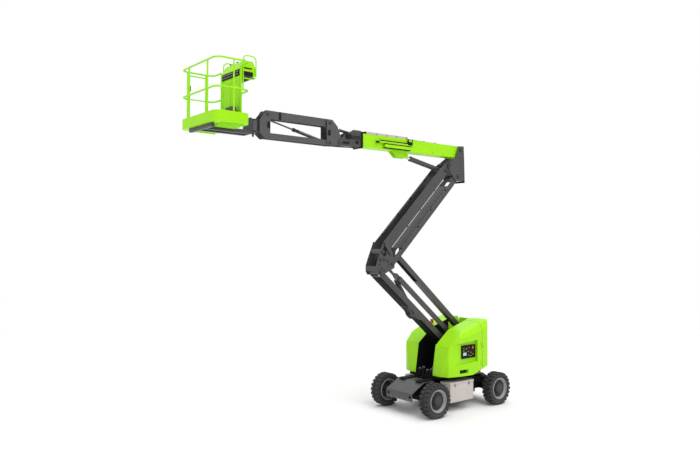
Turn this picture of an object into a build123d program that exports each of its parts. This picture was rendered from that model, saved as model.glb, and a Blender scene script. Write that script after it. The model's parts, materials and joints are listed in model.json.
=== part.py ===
"""Articulating boom lift: a wheeled chassis, a slewing turntable, a folding two-stage
riser, a telescopic boom, a parallelogram jib and a work platform.

Units are millimetres.  +X is the way the boom points, +Y is the machine's left and +Z
is up.  Every size and place below is measured from the slew axis at ground level; each
piece is moved at export so that the origin is on the ground under the middle of the
machine's overall length.
"""
import os
from math import atan2, cos, degrees, hypot, radians, sin
from build123d import *

# ---------------------------------------------------------------- wheels and axles
WHEELBASE = 2000.0
WHEEL_TRACK = 1514.0  # between the two wheels' mid planes
TYRE_RADIUS = 364.0
TYRE_WIDTH = 230.0
TYRE_SHOULDER = 45.0
LUG_HEIGHT = 12.0
LUG_WIDTH = 46.0
LUG_COUNT = 16  # to each shoulder
TYRE_FLATS = 36  # flat faces round a tyre
LUG_INNER = 8.0  # from the tread's middle to a lug
LUG_TURN = 16.0  # degrees that a lug leans from square to the tread
RIM_RADIUS = 237.0
RIM_LIP = 14.0
RIM_WALL = 10.0
DISC_DEPTH = 70.0  # from the rim's outer face in to the wheel disc
HUB_RADIUS = 105.0
HUB_DEPTH = 60.0
RIM_INSET = 5.0  # from the tyre's side in to the rim's edge
KINGPIN_INSET = 180.0  # from a front wheel's mid plane to its kingpin
KINGPIN_RADIUS = 22.0
AXLE_BEAM = 120.0
BEAM_EYE = 32.0  # radius of the axle beam's end round its kingpin
BEAM_NECK = 22.0  # from a kingpin in to where the beam has its full width
STEER_ROD_RISE = 8.0  # the steering rod's axis above the beam's underside
STEER_ARM = 150.0
STEER_ROD_RADIUS = 14.0
STEER_BARREL_RADIUS = 32.0

# ---------------------------------------------------------------- chassis
FRAME_LENGTH = 1290.0
FRAME_WIDTH = 800.0
FRAME_BOTTOM = 290.0
FRAME_TOP = 620.0
COVER_HALF_WIDTH = 400.0
COVER_FRONT = 1310.0
COVER_CREASE = 475.0
COVER_BOTTOM = 310.0
COVER_BACK = 960.0
COVER_TOP = 665.0
COVER_WALL = 8.0
BOX_REAR = -296.0
BOX_FRONT = 452.0
BOX_OUTER = 686.0
BOX_BOTTOM = 213.0
BOX_TOP = 598.0
BOX_WALL = 6.0
LID_HEIGHT = 40.0
LID_OVERHANG = 8.0
SLEW_RING_RADIUS = 400.0

# ---------------------------------------------------------------- turntable
DECK_TOP = 745.0
DECK_THICKNESS = 45.0
SLEW_GAP = 0.3
SLEW_RING_TOP = DECK_TOP - DECK_THICKNESS - SLEW_GAP
DECK_HALF_WIDTH = 440.0
DECK_FRONT = 560.0
BRACKET_THICKNESS = 20.0
BRACKET_BACK = 38.4  # from the timing link's lower pin back to the brackets' rear edge
BRACKET_FRONT = 250.0
BRACKET_INNER = 185.0  # half the gap between the two pivot brackets
HOOD_HALF_WIDTH = 760.0
HOOD_INNER = 250.0  # half the slot that the arms fold into
HOOD_WALL = 6.0
HOOD_BOTTOM = 752.0
HOOD_REAR = -900.0
HOOD_SEAM = -520.0
SEAM_GAP = 8.0
HINGE_OUT = 12.0  # from the hood's side out to its hinge axis, and the hinge's radius
HINGE_PIN_RADIUS = 6.0
HOOD_HINGE_HEIGHTS = (980.0, 1400.0)
COUNTERWEIGHT_DECK = 1180.0
HOOD_HEIGHT = 1400.0
HOOD_REACH = (700.0, 2150.0)  # heights below and above the hoods, for cutting them
HOOD_FRONT = 550.0
HOOD_CORNERS = ((560.0, 450.0), (470.0, 650.0), (190.0, 728.0), (-100.0, 760.0))  # front to side
HOOD_REAR_CORNER = 200.0
SHOULDER = (455.0, 1400.0)  # where the hood's front edge leans back
BROW = (40.0, 1720.0)  # the hood's upper edge over its front slope
CROWN = (-640.0, 1920.0)
REAR_TOP_DROP = 115.0  # the rear edge below the crown
REAR_TOP_LEAN = 60.0
REAR_CHAMFER = (130.0, 150.0)
REAR_WALL_DROP = 35.0  # the wall that joins the counterweight's two halves, below the crown
REAR_WALL_HEIGHT = 290.0  # short enough to clear the timing link's lower end
CREASE_FRONT = (600.0, 884.0)  # the side crease over the section's own base
CREASE_SLOPE = 17.0
CREASE_BASE = 502.0
CROWN_STEPS = ((60.0, 110.0), (190.0, 180.0))  # in from the side and up from the crease
CROWN_RISE = 250.0
RECESS = ((250.0, 1455.0), (-360.0, 1505.0), (-360.0, 1030.0), (330.0, 1000.0))
GRIP = ((190.0, 890.0), (-60.0, 890.0), (-60.0, 810.0), (190.0, 810.0))
POCKET_FLOOR = 694.0  # from the middle out to the floor of the hood's two recesses
POCKET_WALL = 6.0
BEACON = (-170.0, -450.0, 1760.0)
BEACON_RADIUS = 38.0
BEACON_HEIGHT = 120.0
ENGINE = ((-420.0, 180.0), (-640.0, -300.0), 1330.0)
POWER_PACK = ((-420.0, 60.0), (300.0, 620.0), 1200.0)

# ---------------------------------------------------------------- pins and running gaps
PIN_RADIUS = 28.0
PIN_GAP = 0.3
SIDE_GAP = 6.0
KNUCKLE_INNER = 154.0
KNUCKLE_PLATE = 16.0
PIN_HEAD = 8.0
EYE_RADIUS = 44.0
CYLINDER_EYE_HALF = 40.0

# ---------------------------------------------------------------- riser arms
LOWER_FOOT = (-259.0, 1208.0)
LOWER_LENGTH = 2900.0
LOWER_ANGLE = 39.3
LOWER_DEPTH = 130.0
LOWER_HALF_WIDTH = 148.0
LOWER_EYE = 54.0
ARM_WALL = 8.0
LUG_PLATE = 14.0
LINK_OFFSET = (-245.0, 120.0)  # from the lower arm's pivots to the level link's
LINK_DEPTH = 112.0
LINK_BAR = (92.0, 126.0)  # the bar's two faces, to the left of the middle
LINK_BAR_ENDS = (130.0, 430.0)  # from the two pins in to the bar's full width
LINK_HALF_WIDTH = 100.0
UPPER_LENGTH = 2843.0
UPPER_ANGLE = 136.1
FRONT_FOOT_OFFSET = (-65.0, 415.0)  # from the lower arm's top pin
REAR_FOOT_OFFSET = (-344.0, 160.0)
FRONT_ARM_DEPTH = 240.0
FRONT_ARM_HALF_WIDTH = 140.0
REAR_ARM_DEPTH = 126.0
REAR_ARM_HALF_WIDTH = 148.0
TIMING_LENGTH = 2900.0
TIMING_ANGLE = 40.3
TIMING_DEPTH = 108.0
TIMING_HALF_WIDTH = 68.0
TIMING_WALL = 6.0
TIMING_FORK = 120.0  # the link's upper end, open above and below
TIMING_SLOT = 800.0  # the link's upper end, open below for the riser cylinder
TIMING_PIN_OFFSET = (-261.0, 155.0)  # from the rear upper arm's foot
RISER_BASE_ALONG = 1418.0
RISER_BASE_DROP = 33.0
RISER_BARREL_RADIUS = 50.0
RISER_ROD_RADIUS = 24.0
RISER_BARREL_LENGTH = 940.0

# ---------------------------------------------------------------- boom
BOOM_PIVOT_OFFSET = (-371.61, 368.854)  # from the front upper arm's top pin
BOOM_TAIL = 20.0  # from the boom's pivot back to the tube's rear end
BOOM_REACH = 2960.0  # from the boom's pivot to the tube's front end
BOOM_UNDER = 185.0
BOOM_OVER = 85.0
BOOM_HALF_WIDTH = 125.0
BOOM_WALL = 8.0
BOOM_LUG_OFFSET = (1630.0, -275.0)  # from the boom's pivot
BOOM_LUG_INNER = 50.0
BOOM_LUG_PLATE = 16.0
BOOM_CYLINDER_OFFSET = (450.0, -510.0)  # from the boom's pivot to the cylinder's base
KNUCKLE_TIE_OFFSET = (-162.0, -101.0)  # from the front upper arm's top pin
KNUCKLE_TIE_RADIUS = 35.0
BOOM_BOSS = 23.0  # how far the boom's pivot boss stands out of its side
CHANNEL = (1745.0, 2830.0)  # ends of the cable channel, from the boom's pivot
CHANNEL_SIDES = (20.0, 90.0)
CHANNEL_HEIGHT = 60.0
TRAY = (1570.0, 2500.0)  # ends of the side tray, from the boom's pivot
TRAY_DEPTH = 40.0
TRAY_HEIGHT = 65.0
BOOM_BARREL_RADIUS = 55.0
BOOM_ROD_RADIUS = 30.0
BOOM_BARREL_LENGTH = 1050.0
TELESCOPE_GAP = 6.0
TELESCOPE_INSIDE = 1860.0  # the telescope's length inside the boom
TELESCOPE_OUT = 80.0
TELESCOPE_WALL = 7.0

# ---------------------------------------------------------------- jib
LEVEL_PIVOT_OFFSET = (3510.0, -160.0)  # from the boom's pivot
LEVEL_BASE_OFFSET = (3120.0, 70.0)  # from the boom's pivot
LEVEL_PIN_RADIUS = 14.0
LEVEL_EYE_HALF = 24.0
LEVEL_EYE_OFFSET = (140.0, 300.0)  # from the jib base's pivot
LEVEL_EYE_RADIUS = 24.0
LEVEL_BARREL_RADIUS = 28.0
LEVEL_ROD_RADIUS = 13.0
LEVEL_BARREL_LENGTH = 330.0
NOSE_PLATE = 10.0
JIB_OUT = 250.0  # from the jib base's pivot to the bars' rear pins
JIB_LENGTH = 1440.0
JIB_UPPER_RISE = 370.0  # the bars' pins above and below the jib base's pivot
JIB_LOWER_DROP = 20.0
JIB_UPPER_DEPTH = 155.0
JIB_LOWER_DEPTH = 100.0
JIB_UPPER_HALF = 72.0
JIB_LINK_WALL = 12.0
JIB_WEB = 800.0  # the upper arm's top plate, short enough to clear the cylinder
JIB_LOWER_INNER = 78.0
JIB_LOWER_OUTER = 90.0
JIB_PLATE_INNER = 96.0
JIB_PLATE = 10.0
JIB_CORNER = 18.0
JIB_CYLINDER_EYE_HALF = 28.0
JIB_PIN_RADIUS = 20.0
JIB_BOSS = 30.0
JIB_EYE_BACK = 70.0  # from the bars' front pins back to the cylinder's eye
JIB_EYE_DROP = 80.0  # and down from the upper bars' pins
JIB_EYE_RADIUS = 34.0
JIB_BARREL_RADIUS = 32.0
JIB_ROD_RADIUS = 16.0
JIB_BARREL_LENGTH = 840.0
PISTON_SHARE = 0.45  # where a rod starts inside its barrel, as a share of the barrel
JIB_PISTON_SHARE = 0.56

# ---------------------------------------------------------------- platform
ROTATOR_OUT = 250.0  # from the bars' front pins to the platform's turning axis
ROTATOR_RADIUS = 90.0
ROTATOR_DROP = 20.0  # the turning mount's lower end below the lower bars' pins
ROTATOR_HEIGHT = 290.0
FLOOR_OUT = 431.0  # from the turning axis to the floor's rear edge
FLOOR_LENGTH = 682.0
FLOOR_HALF_WIDTH = 679.0
FLOOR_RISE = 50.0  # the floor's underside above the lower bars' pins
FLOOR_THICKNESS = 40.0
FLOOR_RIBS = (240.0, 380.0, 520.0)
FLOOR_RIB_DEPTH = 32.0
TOE_HEIGHT = 178.0
TOE_WALL = 4.0
CORNER_RADIUS = 150.0
GUARD_HEIGHT = 1067.0  # from the floor's underside to the top rail
MID_RAIL_SHARE = 0.45  # the middle rail's height from the toe board to the top rail
RAIL_RADIUS = 16.0
POST_RADIUS = 14.5
GATE_SETBACK = 179.0  # from the floor's rear edge to the gate's hinge
GATE_WIDTH = 325.0
GATE_GAP = 18.0
REAR_POST_Y = 355.0
FRONT_POST_Y = 345.0
SIDE_POST_SETBACK = 334.0
SEAT_GAP = 0.3
CONTROLS_HALF_WIDTH = 325.0
PANEL_RIBS = (-90.0, 140.0)
CONTROLS_DROP = 137.0  # the control box's base below the top rail
PANEL_DROP = 167.0  # the back panel's top edge below the top rail
HOOP_RADIUS = 11.0
HOOP_CORNER = 80.0


# ================================================================ small helpers
def box(x_range, y_range, z_range):
    """An upright block between three pairs of limits."""
    size = [high - low for low, high in (x_range, y_range, z_range)]
    centre = [(high + low) / 2 for low, high in (x_range, y_range, z_range)]
    return Pos(*centre) * Box(*size)


def plate(outline, y_range, corner=0.0):
    """A flat plate with its outline in the XZ plane, between two Y limits, its corners rounded."""
    low, high = y_range
    plane = Plane(origin=(0, high, 0), x_dir=(1, 0, 0), z_dir=(0, -1, 0))
    face = make_face(Polyline(*outline, close=True))
    if corner:
        face = fillet(face.vertices(), corner)
    return extrude(plane * face, high - low)


def both_sides(shape):
    """A shape with its mirror image on the other side of the machine."""
    return shape + mirror(shape, Plane.XZ)


def cross_pin(at, radius, y_range):
    """A round bar along Y through a point (x, z)."""
    low, high = y_range
    return Pos(at[0], (low + high) / 2, at[1]) * Rot(90, 0, 0) * Cylinder(radius, high - low)


def rod_between(start, end, radius):
    """A round bar between two points in space."""
    start, end = Vector(*start), Vector(*end)
    direction = end - start
    return Plane(origin=start, z_dir=direction) * Cylinder(
        radius, direction.length, align=(Align.CENTER, Align.CENTER, Align.MIN))


def bent_tube(points, radius, corner):
    """A round tube along straight legs with rounded corners."""
    path = FilletPolyline(*points, radius=corner)
    section = Plane(origin=path @ 0, z_dir=path % 0) * Circle(radius)
    return sweep(section, path)


def offset_point(point, offset):
    """A point (x, z) moved by an offset (x, z)."""
    return (point[0] + offset[0], point[1] + offset[1])


def point_along(start, angle, along, across=0.0):
    """The point a distance along and across a line that leaves start at an angle."""
    c, s = cos(radians(angle)), sin(radians(angle))
    return (start[0] + along * c - across * s, start[1] + along * s + across * c)


def direction_of(start, end):
    """The angle in degrees of the line from one (x, z) point to another."""
    return degrees(atan2(end[1] - start[1], end[0] - start[0]))


def on_line(start, angle):
    """A frame at start with x along the line, y along +Y and z square to both."""
    c, s = cos(radians(angle)), sin(radians(angle))
    return Plane(origin=(start[0], 0, start[1]), x_dir=(c, 0, s), z_dir=(-s, 0, c))


# ================================================================ pivots
LOWER_TOP = point_along(LOWER_FOOT, LOWER_ANGLE, LOWER_LENGTH)
LINK_FOOT = offset_point(LOWER_FOOT, LINK_OFFSET)
LINK_TOP = offset_point(LOWER_TOP, LINK_OFFSET)
FRONT_FOOT = offset_point(LOWER_TOP, FRONT_FOOT_OFFSET)
REAR_FOOT = offset_point(LOWER_TOP, REAR_FOOT_OFFSET)
FRONT_TOP = point_along(FRONT_FOOT, UPPER_ANGLE, UPPER_LENGTH)
REAR_TOP = point_along(REAR_FOOT, UPPER_ANGLE, UPPER_LENGTH)
TIMING_TOP = offset_point(REAR_FOOT, TIMING_PIN_OFFSET)
TIMING_FOOT = point_along(TIMING_TOP, TIMING_ANGLE, -TIMING_LENGTH)
RISER_BASE = point_along(LOWER_FOOT, LOWER_ANGLE, RISER_BASE_ALONG, -RISER_BASE_DROP)
FRONT_AXLE_X = WHEELBASE / 2
WHEEL_Y = WHEEL_TRACK / 2
KINGPIN_Y = WHEEL_Y - KINGPIN_INSET
BORE = PIN_RADIUS + PIN_GAP
HUB_REACH = WHEEL_Y + TYRE_WIDTH / 2 - RIM_INSET - DISC_DEPTH - RIM_WALL - PIN_GAP

BOOM_PIVOT = offset_point(FRONT_TOP, BOOM_PIVOT_OFFSET)
BOOM_REAR = BOOM_PIVOT[0] - BOOM_TAIL
BOOM_FRONT = BOOM_PIVOT[0] + BOOM_REACH
BOOM_BOTTOM = BOOM_PIVOT[1] - BOOM_UNDER
BOOM_TOP = BOOM_PIVOT[1] + BOOM_OVER
BOOM_LUG = offset_point(BOOM_PIVOT, BOOM_LUG_OFFSET)
BOOM_CYLINDER_BASE = offset_point(BOOM_PIVOT, BOOM_CYLINDER_OFFSET)
TELESCOPE_REAR = BOOM_FRONT - TELESCOPE_INSIDE
TELESCOPE_FRONT = BOOM_FRONT + TELESCOPE_OUT
LEVEL_PIVOT = offset_point(BOOM_PIVOT, LEVEL_PIVOT_OFFSET)
LEVEL_BASE = offset_point(BOOM_PIVOT, LEVEL_BASE_OFFSET)
LEVEL_EYE = offset_point(LEVEL_PIVOT, LEVEL_EYE_OFFSET)
JIB_REAR = LEVEL_PIVOT[0] + JIB_OUT
JIB_FRONT = JIB_REAR + JIB_LENGTH
JIB_UPPER_Z = LEVEL_PIVOT[1] + JIB_UPPER_RISE
JIB_LOWER_Z = LEVEL_PIVOT[1] - JIB_LOWER_DROP
JIB_EYE = (JIB_FRONT - JIB_EYE_BACK, JIB_UPPER_Z - JIB_EYE_DROP)
ROTATOR_X = JIB_FRONT + ROTATOR_OUT
ROTATOR_BOTTOM = JIB_LOWER_Z - ROTATOR_DROP
ROTATOR_TOP = ROTATOR_BOTTOM + ROTATOR_HEIGHT
FLOOR_REAR = ROTATOR_X + FLOOR_OUT
FLOOR_FRONT = FLOOR_REAR + FLOOR_LENGTH
FLOOR_BOTTOM = JIB_LOWER_Z + FLOOR_RISE
TOE_TOP = FLOOR_BOTTOM + TOE_HEIGHT
TOP_RAIL_Z = FLOOR_BOTTOM + GUARD_HEIGHT
MID_RAIL_Z = TOE_TOP + MID_RAIL_SHARE * (TOP_RAIL_Z - TOE_TOP)
GATE_REAR = FLOOR_REAR + GATE_SETBACK
CENTRE_X = (FLOOR_FRONT - WHEELBASE / 2 - TYRE_RADIUS) / 2

PARTS = {}


def keep(name, shape):
    """Stores a finished piece under its node name."""
    PARTS[name] = shape


# ================================================================ wheels
def ring_of_flats(steps):
    """A solid about the Z axis with flat sides, from a list of (radius of the flats, z)."""
    faces = [Pos(0, 0, z) * RegularPolygon(radius, TYRE_FLATS, major_radius=False) for radius, z in steps]
    solid = loft(faces[:2], ruled=True)
    for low, high in zip(faces[1:], faces[2:]):
        solid += loft([low, high], ruled=True)
    return solid


def build_tyre():
    """A tyre about the Y axis at the origin, hollow for its rim, with lugs on both shoulders."""
    half = TYRE_WIDTH / 2
    tread = TYRE_RADIUS - LUG_HEIGHT
    bore = RIM_RADIUS + PIN_GAP
    side = tread - TYRE_SHOULDER
    crown = half - TYRE_SHOULDER
    tyre = ring_of_flats(((side, -half), (tread, -crown), (tread, crown), (side, half)))
    tyre -= ring_of_flats(((bore, -half - 1), (bore, half + 1)))
    tyre = Rot(90, 0, 0) * tyre
    lug_line = Polyline((tread - 6, LUG_INNER), (TYRE_RADIUS, LUG_INNER), (TYRE_RADIUS, crown),
                        (side + LUG_HEIGHT, half - 2), (side - 6, half - 4), close=True)
    lug = Rot(LUG_TURN, 0, 0) * (Pos(0, 0, -LUG_WIDTH / 2) * extrude(make_face(lug_line), LUG_WIDTH))
    step = 360 / LUG_COUNT
    lugs = [Rot(0, index * step, 0) * lug for index in range(LUG_COUNT)]
    lugs += [Rot(0, (index + 0.5) * step, 0) * mirror(lug, Plane.XZ) for index in range(LUG_COUNT)]
    return tyre + lugs


def build_rim():
    """A dished wheel about the Y axis at the origin; its outer face is towards +Y."""
    half = TYRE_WIDTH / 2 - RIM_INSET
    disc = half - DISC_DEPTH
    inner = RIM_RADIUS - RIM_LIP
    section = Polyline(
        (0, disc - RIM_WALL), (inner, disc - RIM_WALL), (inner, -half), (RIM_RADIUS, -half),
        (RIM_RADIUS, half), (inner, half), (inner, disc), (HUB_RADIUS, disc),
        (HUB_RADIUS, disc + HUB_DEPTH - 15), (HUB_RADIUS - 15, disc + HUB_DEPTH),
        (0, disc + HUB_DEPTH), close=True)
    return Rot(-90, 0, 0) * revolve(Plane.XZ * make_face(section), Axis.Z)


def build_wheels():
    """Four tyres and four rims, one pair of nodes to a wheel."""
    tyre = build_tyre()
    rim = build_rim()
    corners = (("front_left", 1, 1), ("front_right", 1, -1),
               ("rear_left", -1, 1), ("rear_right", -1, -1))
    for name, end, side in corners:
        place = Pos(end * FRONT_AXLE_X, side * WHEEL_Y, TYRE_RADIUS)
        turn = Rot(0, 0, 0 if side > 0 else 180)
        keep(name + "_tyre", place * tyre)
        keep(name + "_rim", place * turn * rim)


def build_steering():
    """The two steering knuckles and the rod that ties them."""
    gap = 4.0
    half_beam = AXLE_BEAM / 2
    for side, name in ((1, "left_steering_knuckle"), (-1, "right_steering_knuckle")):
        x, y, z = FRONT_AXLE_X, KINGPIN_Y, TYRE_RADIUS
        spindle = cross_pin((x, z), 60, (y + 40, HUB_REACH))
        jaw_top = box((x - 45, x + 45), (y - 45, y + 50), (z + half_beam + gap, z + half_beam + 34))
        jaw_low = box((x - 45, x + 45), (y - 45, y + 50), (z - half_beam - 34, z - half_beam - gap))
        back = box((x - 45, x + 45), (y + 38, y + 50), (z - half_beam - 34, z + half_beam + 34))
        arm = box((x - STEER_ARM - 20, x - 40), (y - 20, y + 20), (z - half_beam - 34, z - half_beam - 6.3))
        pin = Pos(x, y, z) * Cylinder(KINGPIN_RADIUS, AXLE_BEAM + 2 * 34 + 10)
        knuckle = spindle + jaw_top + jaw_low + back + arm + pin
        keep(name, knuckle if side > 0 else mirror(knuckle, Plane.XZ))
    rod_x = FRONT_AXLE_X - STEER_ARM
    rod_z = TYRE_RADIUS - half_beam + STEER_ROD_RISE
    rod = cross_pin((rod_x, rod_z), STEER_ROD_RADIUS, (-KINGPIN_Y + 26, KINGPIN_Y - 26))
    ends = box((rod_x - 22, rod_x + 22), (KINGPIN_Y - 30, KINGPIN_Y + 22), (rod_z - 14, rod_z + 14))
    keep("steering_rod", rod + both_sides(ends))


def build_chassis():
    """The welded frame with its axles, the end covers and the side boxes."""
    half = FRAME_LENGTH / 2
    half_width = FRAME_WIDTH / 2
    frame = box((-half, half), (-half_width, half_width), (FRAME_BOTTOM, FRAME_TOP))
    frame += Pos(0, 0, FRAME_TOP) * Cylinder(
        SLEW_RING_RADIUS, SLEW_RING_TOP - FRAME_TOP, align=(Align.CENTER, Align.CENTER, Align.MIN))
    z = TYRE_RADIUS
    beam_half = AXLE_BEAM / 2
    front_end = KINGPIN_Y - BEAM_NECK
    beam = box((FRONT_AXLE_X - beam_half, FRONT_AXLE_X + beam_half), (-front_end, front_end),
               (z - beam_half, z + beam_half))
    beam += box((FRONT_AXLE_X - BEAM_EYE, FRONT_AXLE_X + BEAM_EYE), (-KINGPIN_Y, KINGPIN_Y),
                (z - beam_half, z + beam_half))
    for side in (1, -1):
        beam += Pos(FRONT_AXLE_X, side * KINGPIN_Y, z) * Cylinder(BEAM_EYE, AXLE_BEAM)
    for side in (1, -1):
        beam -= Pos(FRONT_AXLE_X, side * KINGPIN_Y, z) * Cylinder(KINGPIN_RADIUS + PIN_GAP, AXLE_BEAM)
    rod_z = z - beam_half + STEER_ROD_RISE
    spine = box((half - 20, FRONT_AXLE_X), (-150, 150), (rod_z + STEER_BARREL_RADIUS - 4, FRAME_TOP - 40))
    barrel = cross_pin((FRONT_AXLE_X - STEER_ARM, rod_z), STEER_BARREL_RADIUS, (-230, 230))
    barrel -= cross_pin((FRONT_AXLE_X - STEER_ARM, rod_z), STEER_ROD_RADIUS + 1, (-240, 240))
    rear = cross_pin((-FRONT_AXLE_X, z), 75, (-HUB_REACH, HUB_REACH))
    rear += box((-FRONT_AXLE_X - beam_half, -FRONT_AXLE_X + beam_half), (-480, 480),
                (z - beam_half, z + beam_half))
    rear_spine = box((-FRONT_AXLE_X, -half + 20), (-300, 300), (z - beam_half, FRAME_TOP - 40))
    keep("chassis_frame", frame + beam + spine + barrel + rear + rear_spine)

    outline = ((COVER_FRONT, COVER_BOTTOM), (COVER_FRONT, COVER_CREASE), (COVER_BACK, COVER_TOP),
               (half + 2, COVER_TOP), (half + 2, COVER_TOP - COVER_WALL),
               (COVER_BACK - 4, COVER_TOP - COVER_WALL), (COVER_FRONT - COVER_WALL, COVER_CREASE - 6),
               (COVER_FRONT - COVER_WALL, COVER_BOTTOM))
    cover = plate(outline, (-COVER_HALF_WIDTH, COVER_HALF_WIDTH))
    brace = box((FRONT_AXLE_X + beam_half + 0.3, COVER_FRONT - 1), (-60, 60), (z - 30, z + 30))
    keep("front_axle_cover", cover + brace)
    rear_outline = [(-x, height) for x, height in outline]
    rear_cover = plate(rear_outline[::-1], (-COVER_HALF_WIDTH, COVER_HALF_WIDTH))
    rear_brace = box((-COVER_FRONT + 1, -FRONT_AXLE_X - 75.3), (-60, 60), (z - 30, z + 30))
    keep("rear_axle_cover", rear_cover + rear_brace)

    for side, name in ((1, "left"), (-1, "right")):
        outer = box((BOX_REAR, BOX_FRONT), (half_width + 0.3, BOX_OUTER), (BOX_BOTTOM, BOX_TOP))
        inner = box((BOX_REAR + BOX_WALL, BOX_FRONT - BOX_WALL),
                    (half_width + 0.3 + BOX_WALL, BOX_OUTER - BOX_WALL), (BOX_BOTTOM + BOX_WALL, BOX_TOP + 1))
        lid = box((BOX_REAR - LID_OVERHANG, BOX_FRONT + LID_OVERHANG),
                  (half_width + 1, BOX_OUTER + LID_OVERHANG), (BOX_TOP + 0.3, BOX_TOP + LID_HEIGHT))
        batteries = box((BOX_REAR + 30, BOX_FRONT - 30), (half_width + 30, BOX_OUTER - 30),
                        (BOX_BOTTOM + BOX_WALL, BOX_TOP - 60))
        for part_name, shape in (("side_box", outer - inner + batteries), ("side_box_lid", lid)):
            keep(name + "_" + part_name, shape if side > 0 else mirror(shape, Plane.XZ))


# ================================================================ turntable
def hood_solid(inset, bottom):
    """The outer form of the left hood, drawn in by an inset on every side but the bottom."""
    rear, side, inner = HOOD_REAR + inset, HOOD_HALF_WIDTH - inset, HOOD_INNER + inset
    top = CROWN[1] - inset
    corners = [(x - inset, y - inset) for x, y in HOOD_CORNERS]
    plan = Polyline((rear, inner), (HOOD_FRONT - inset, inner), *corners, (rear + HOOD_REAR_CORNER, side),
                    (rear, side - HOOD_REAR_CORNER), close=True)
    body = Pos(0, 0, bottom - 1) * extrude(make_face(plan), HOOD_HEIGHT)
    profile = ((HOOD_FRONT + 10 - inset, bottom), (SHOULDER[0] - inset, SHOULDER[1] - inset / 2),
               (BROW[0] - inset / 2, BROW[1] - inset), (CROWN[0], top), (rear + REAR_TOP_LEAN, top),
               (rear, top - REAR_TOP_DROP), (rear, bottom + REAR_CHAMFER[1]), (rear + REAR_CHAMFER[0], bottom))
    body &= plate(profile, (0, HOOD_HALF_WIDTH + 100))
    crease = CREASE_FRONT[1] - inset
    steps = [(side - along, crease + up) for along, up in CROWN_STEPS]
    section = ((0, 0), (side, 0), (side, crease), *steps, (inner, crease + CROWN_RISE), (0, crease + CROWN_RISE + 10))
    frame = Plane(origin=(CREASE_FRONT[0], 0, CREASE_BASE), x_dir=(0, 1, 0), z_dir=(1, 0, 0))
    lean = (-cos(radians(CREASE_SLOPE)), 0, sin(radians(CREASE_SLOPE)))
    return body & extrude(frame * make_face(Polyline(*section, close=True)), 1700, dir=lean)


def grown(outline, step):
    """An outline's corners moved out from its middle by a step along X and along Z."""
    middle_x = sum(x for x, z in outline) / len(outline)
    middle_z = sum(z for x, z in outline) / len(outline)
    return [(x + (step if x > middle_x else -step), z + (step if z > middle_z else -step)) for x, z in outline]


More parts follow.
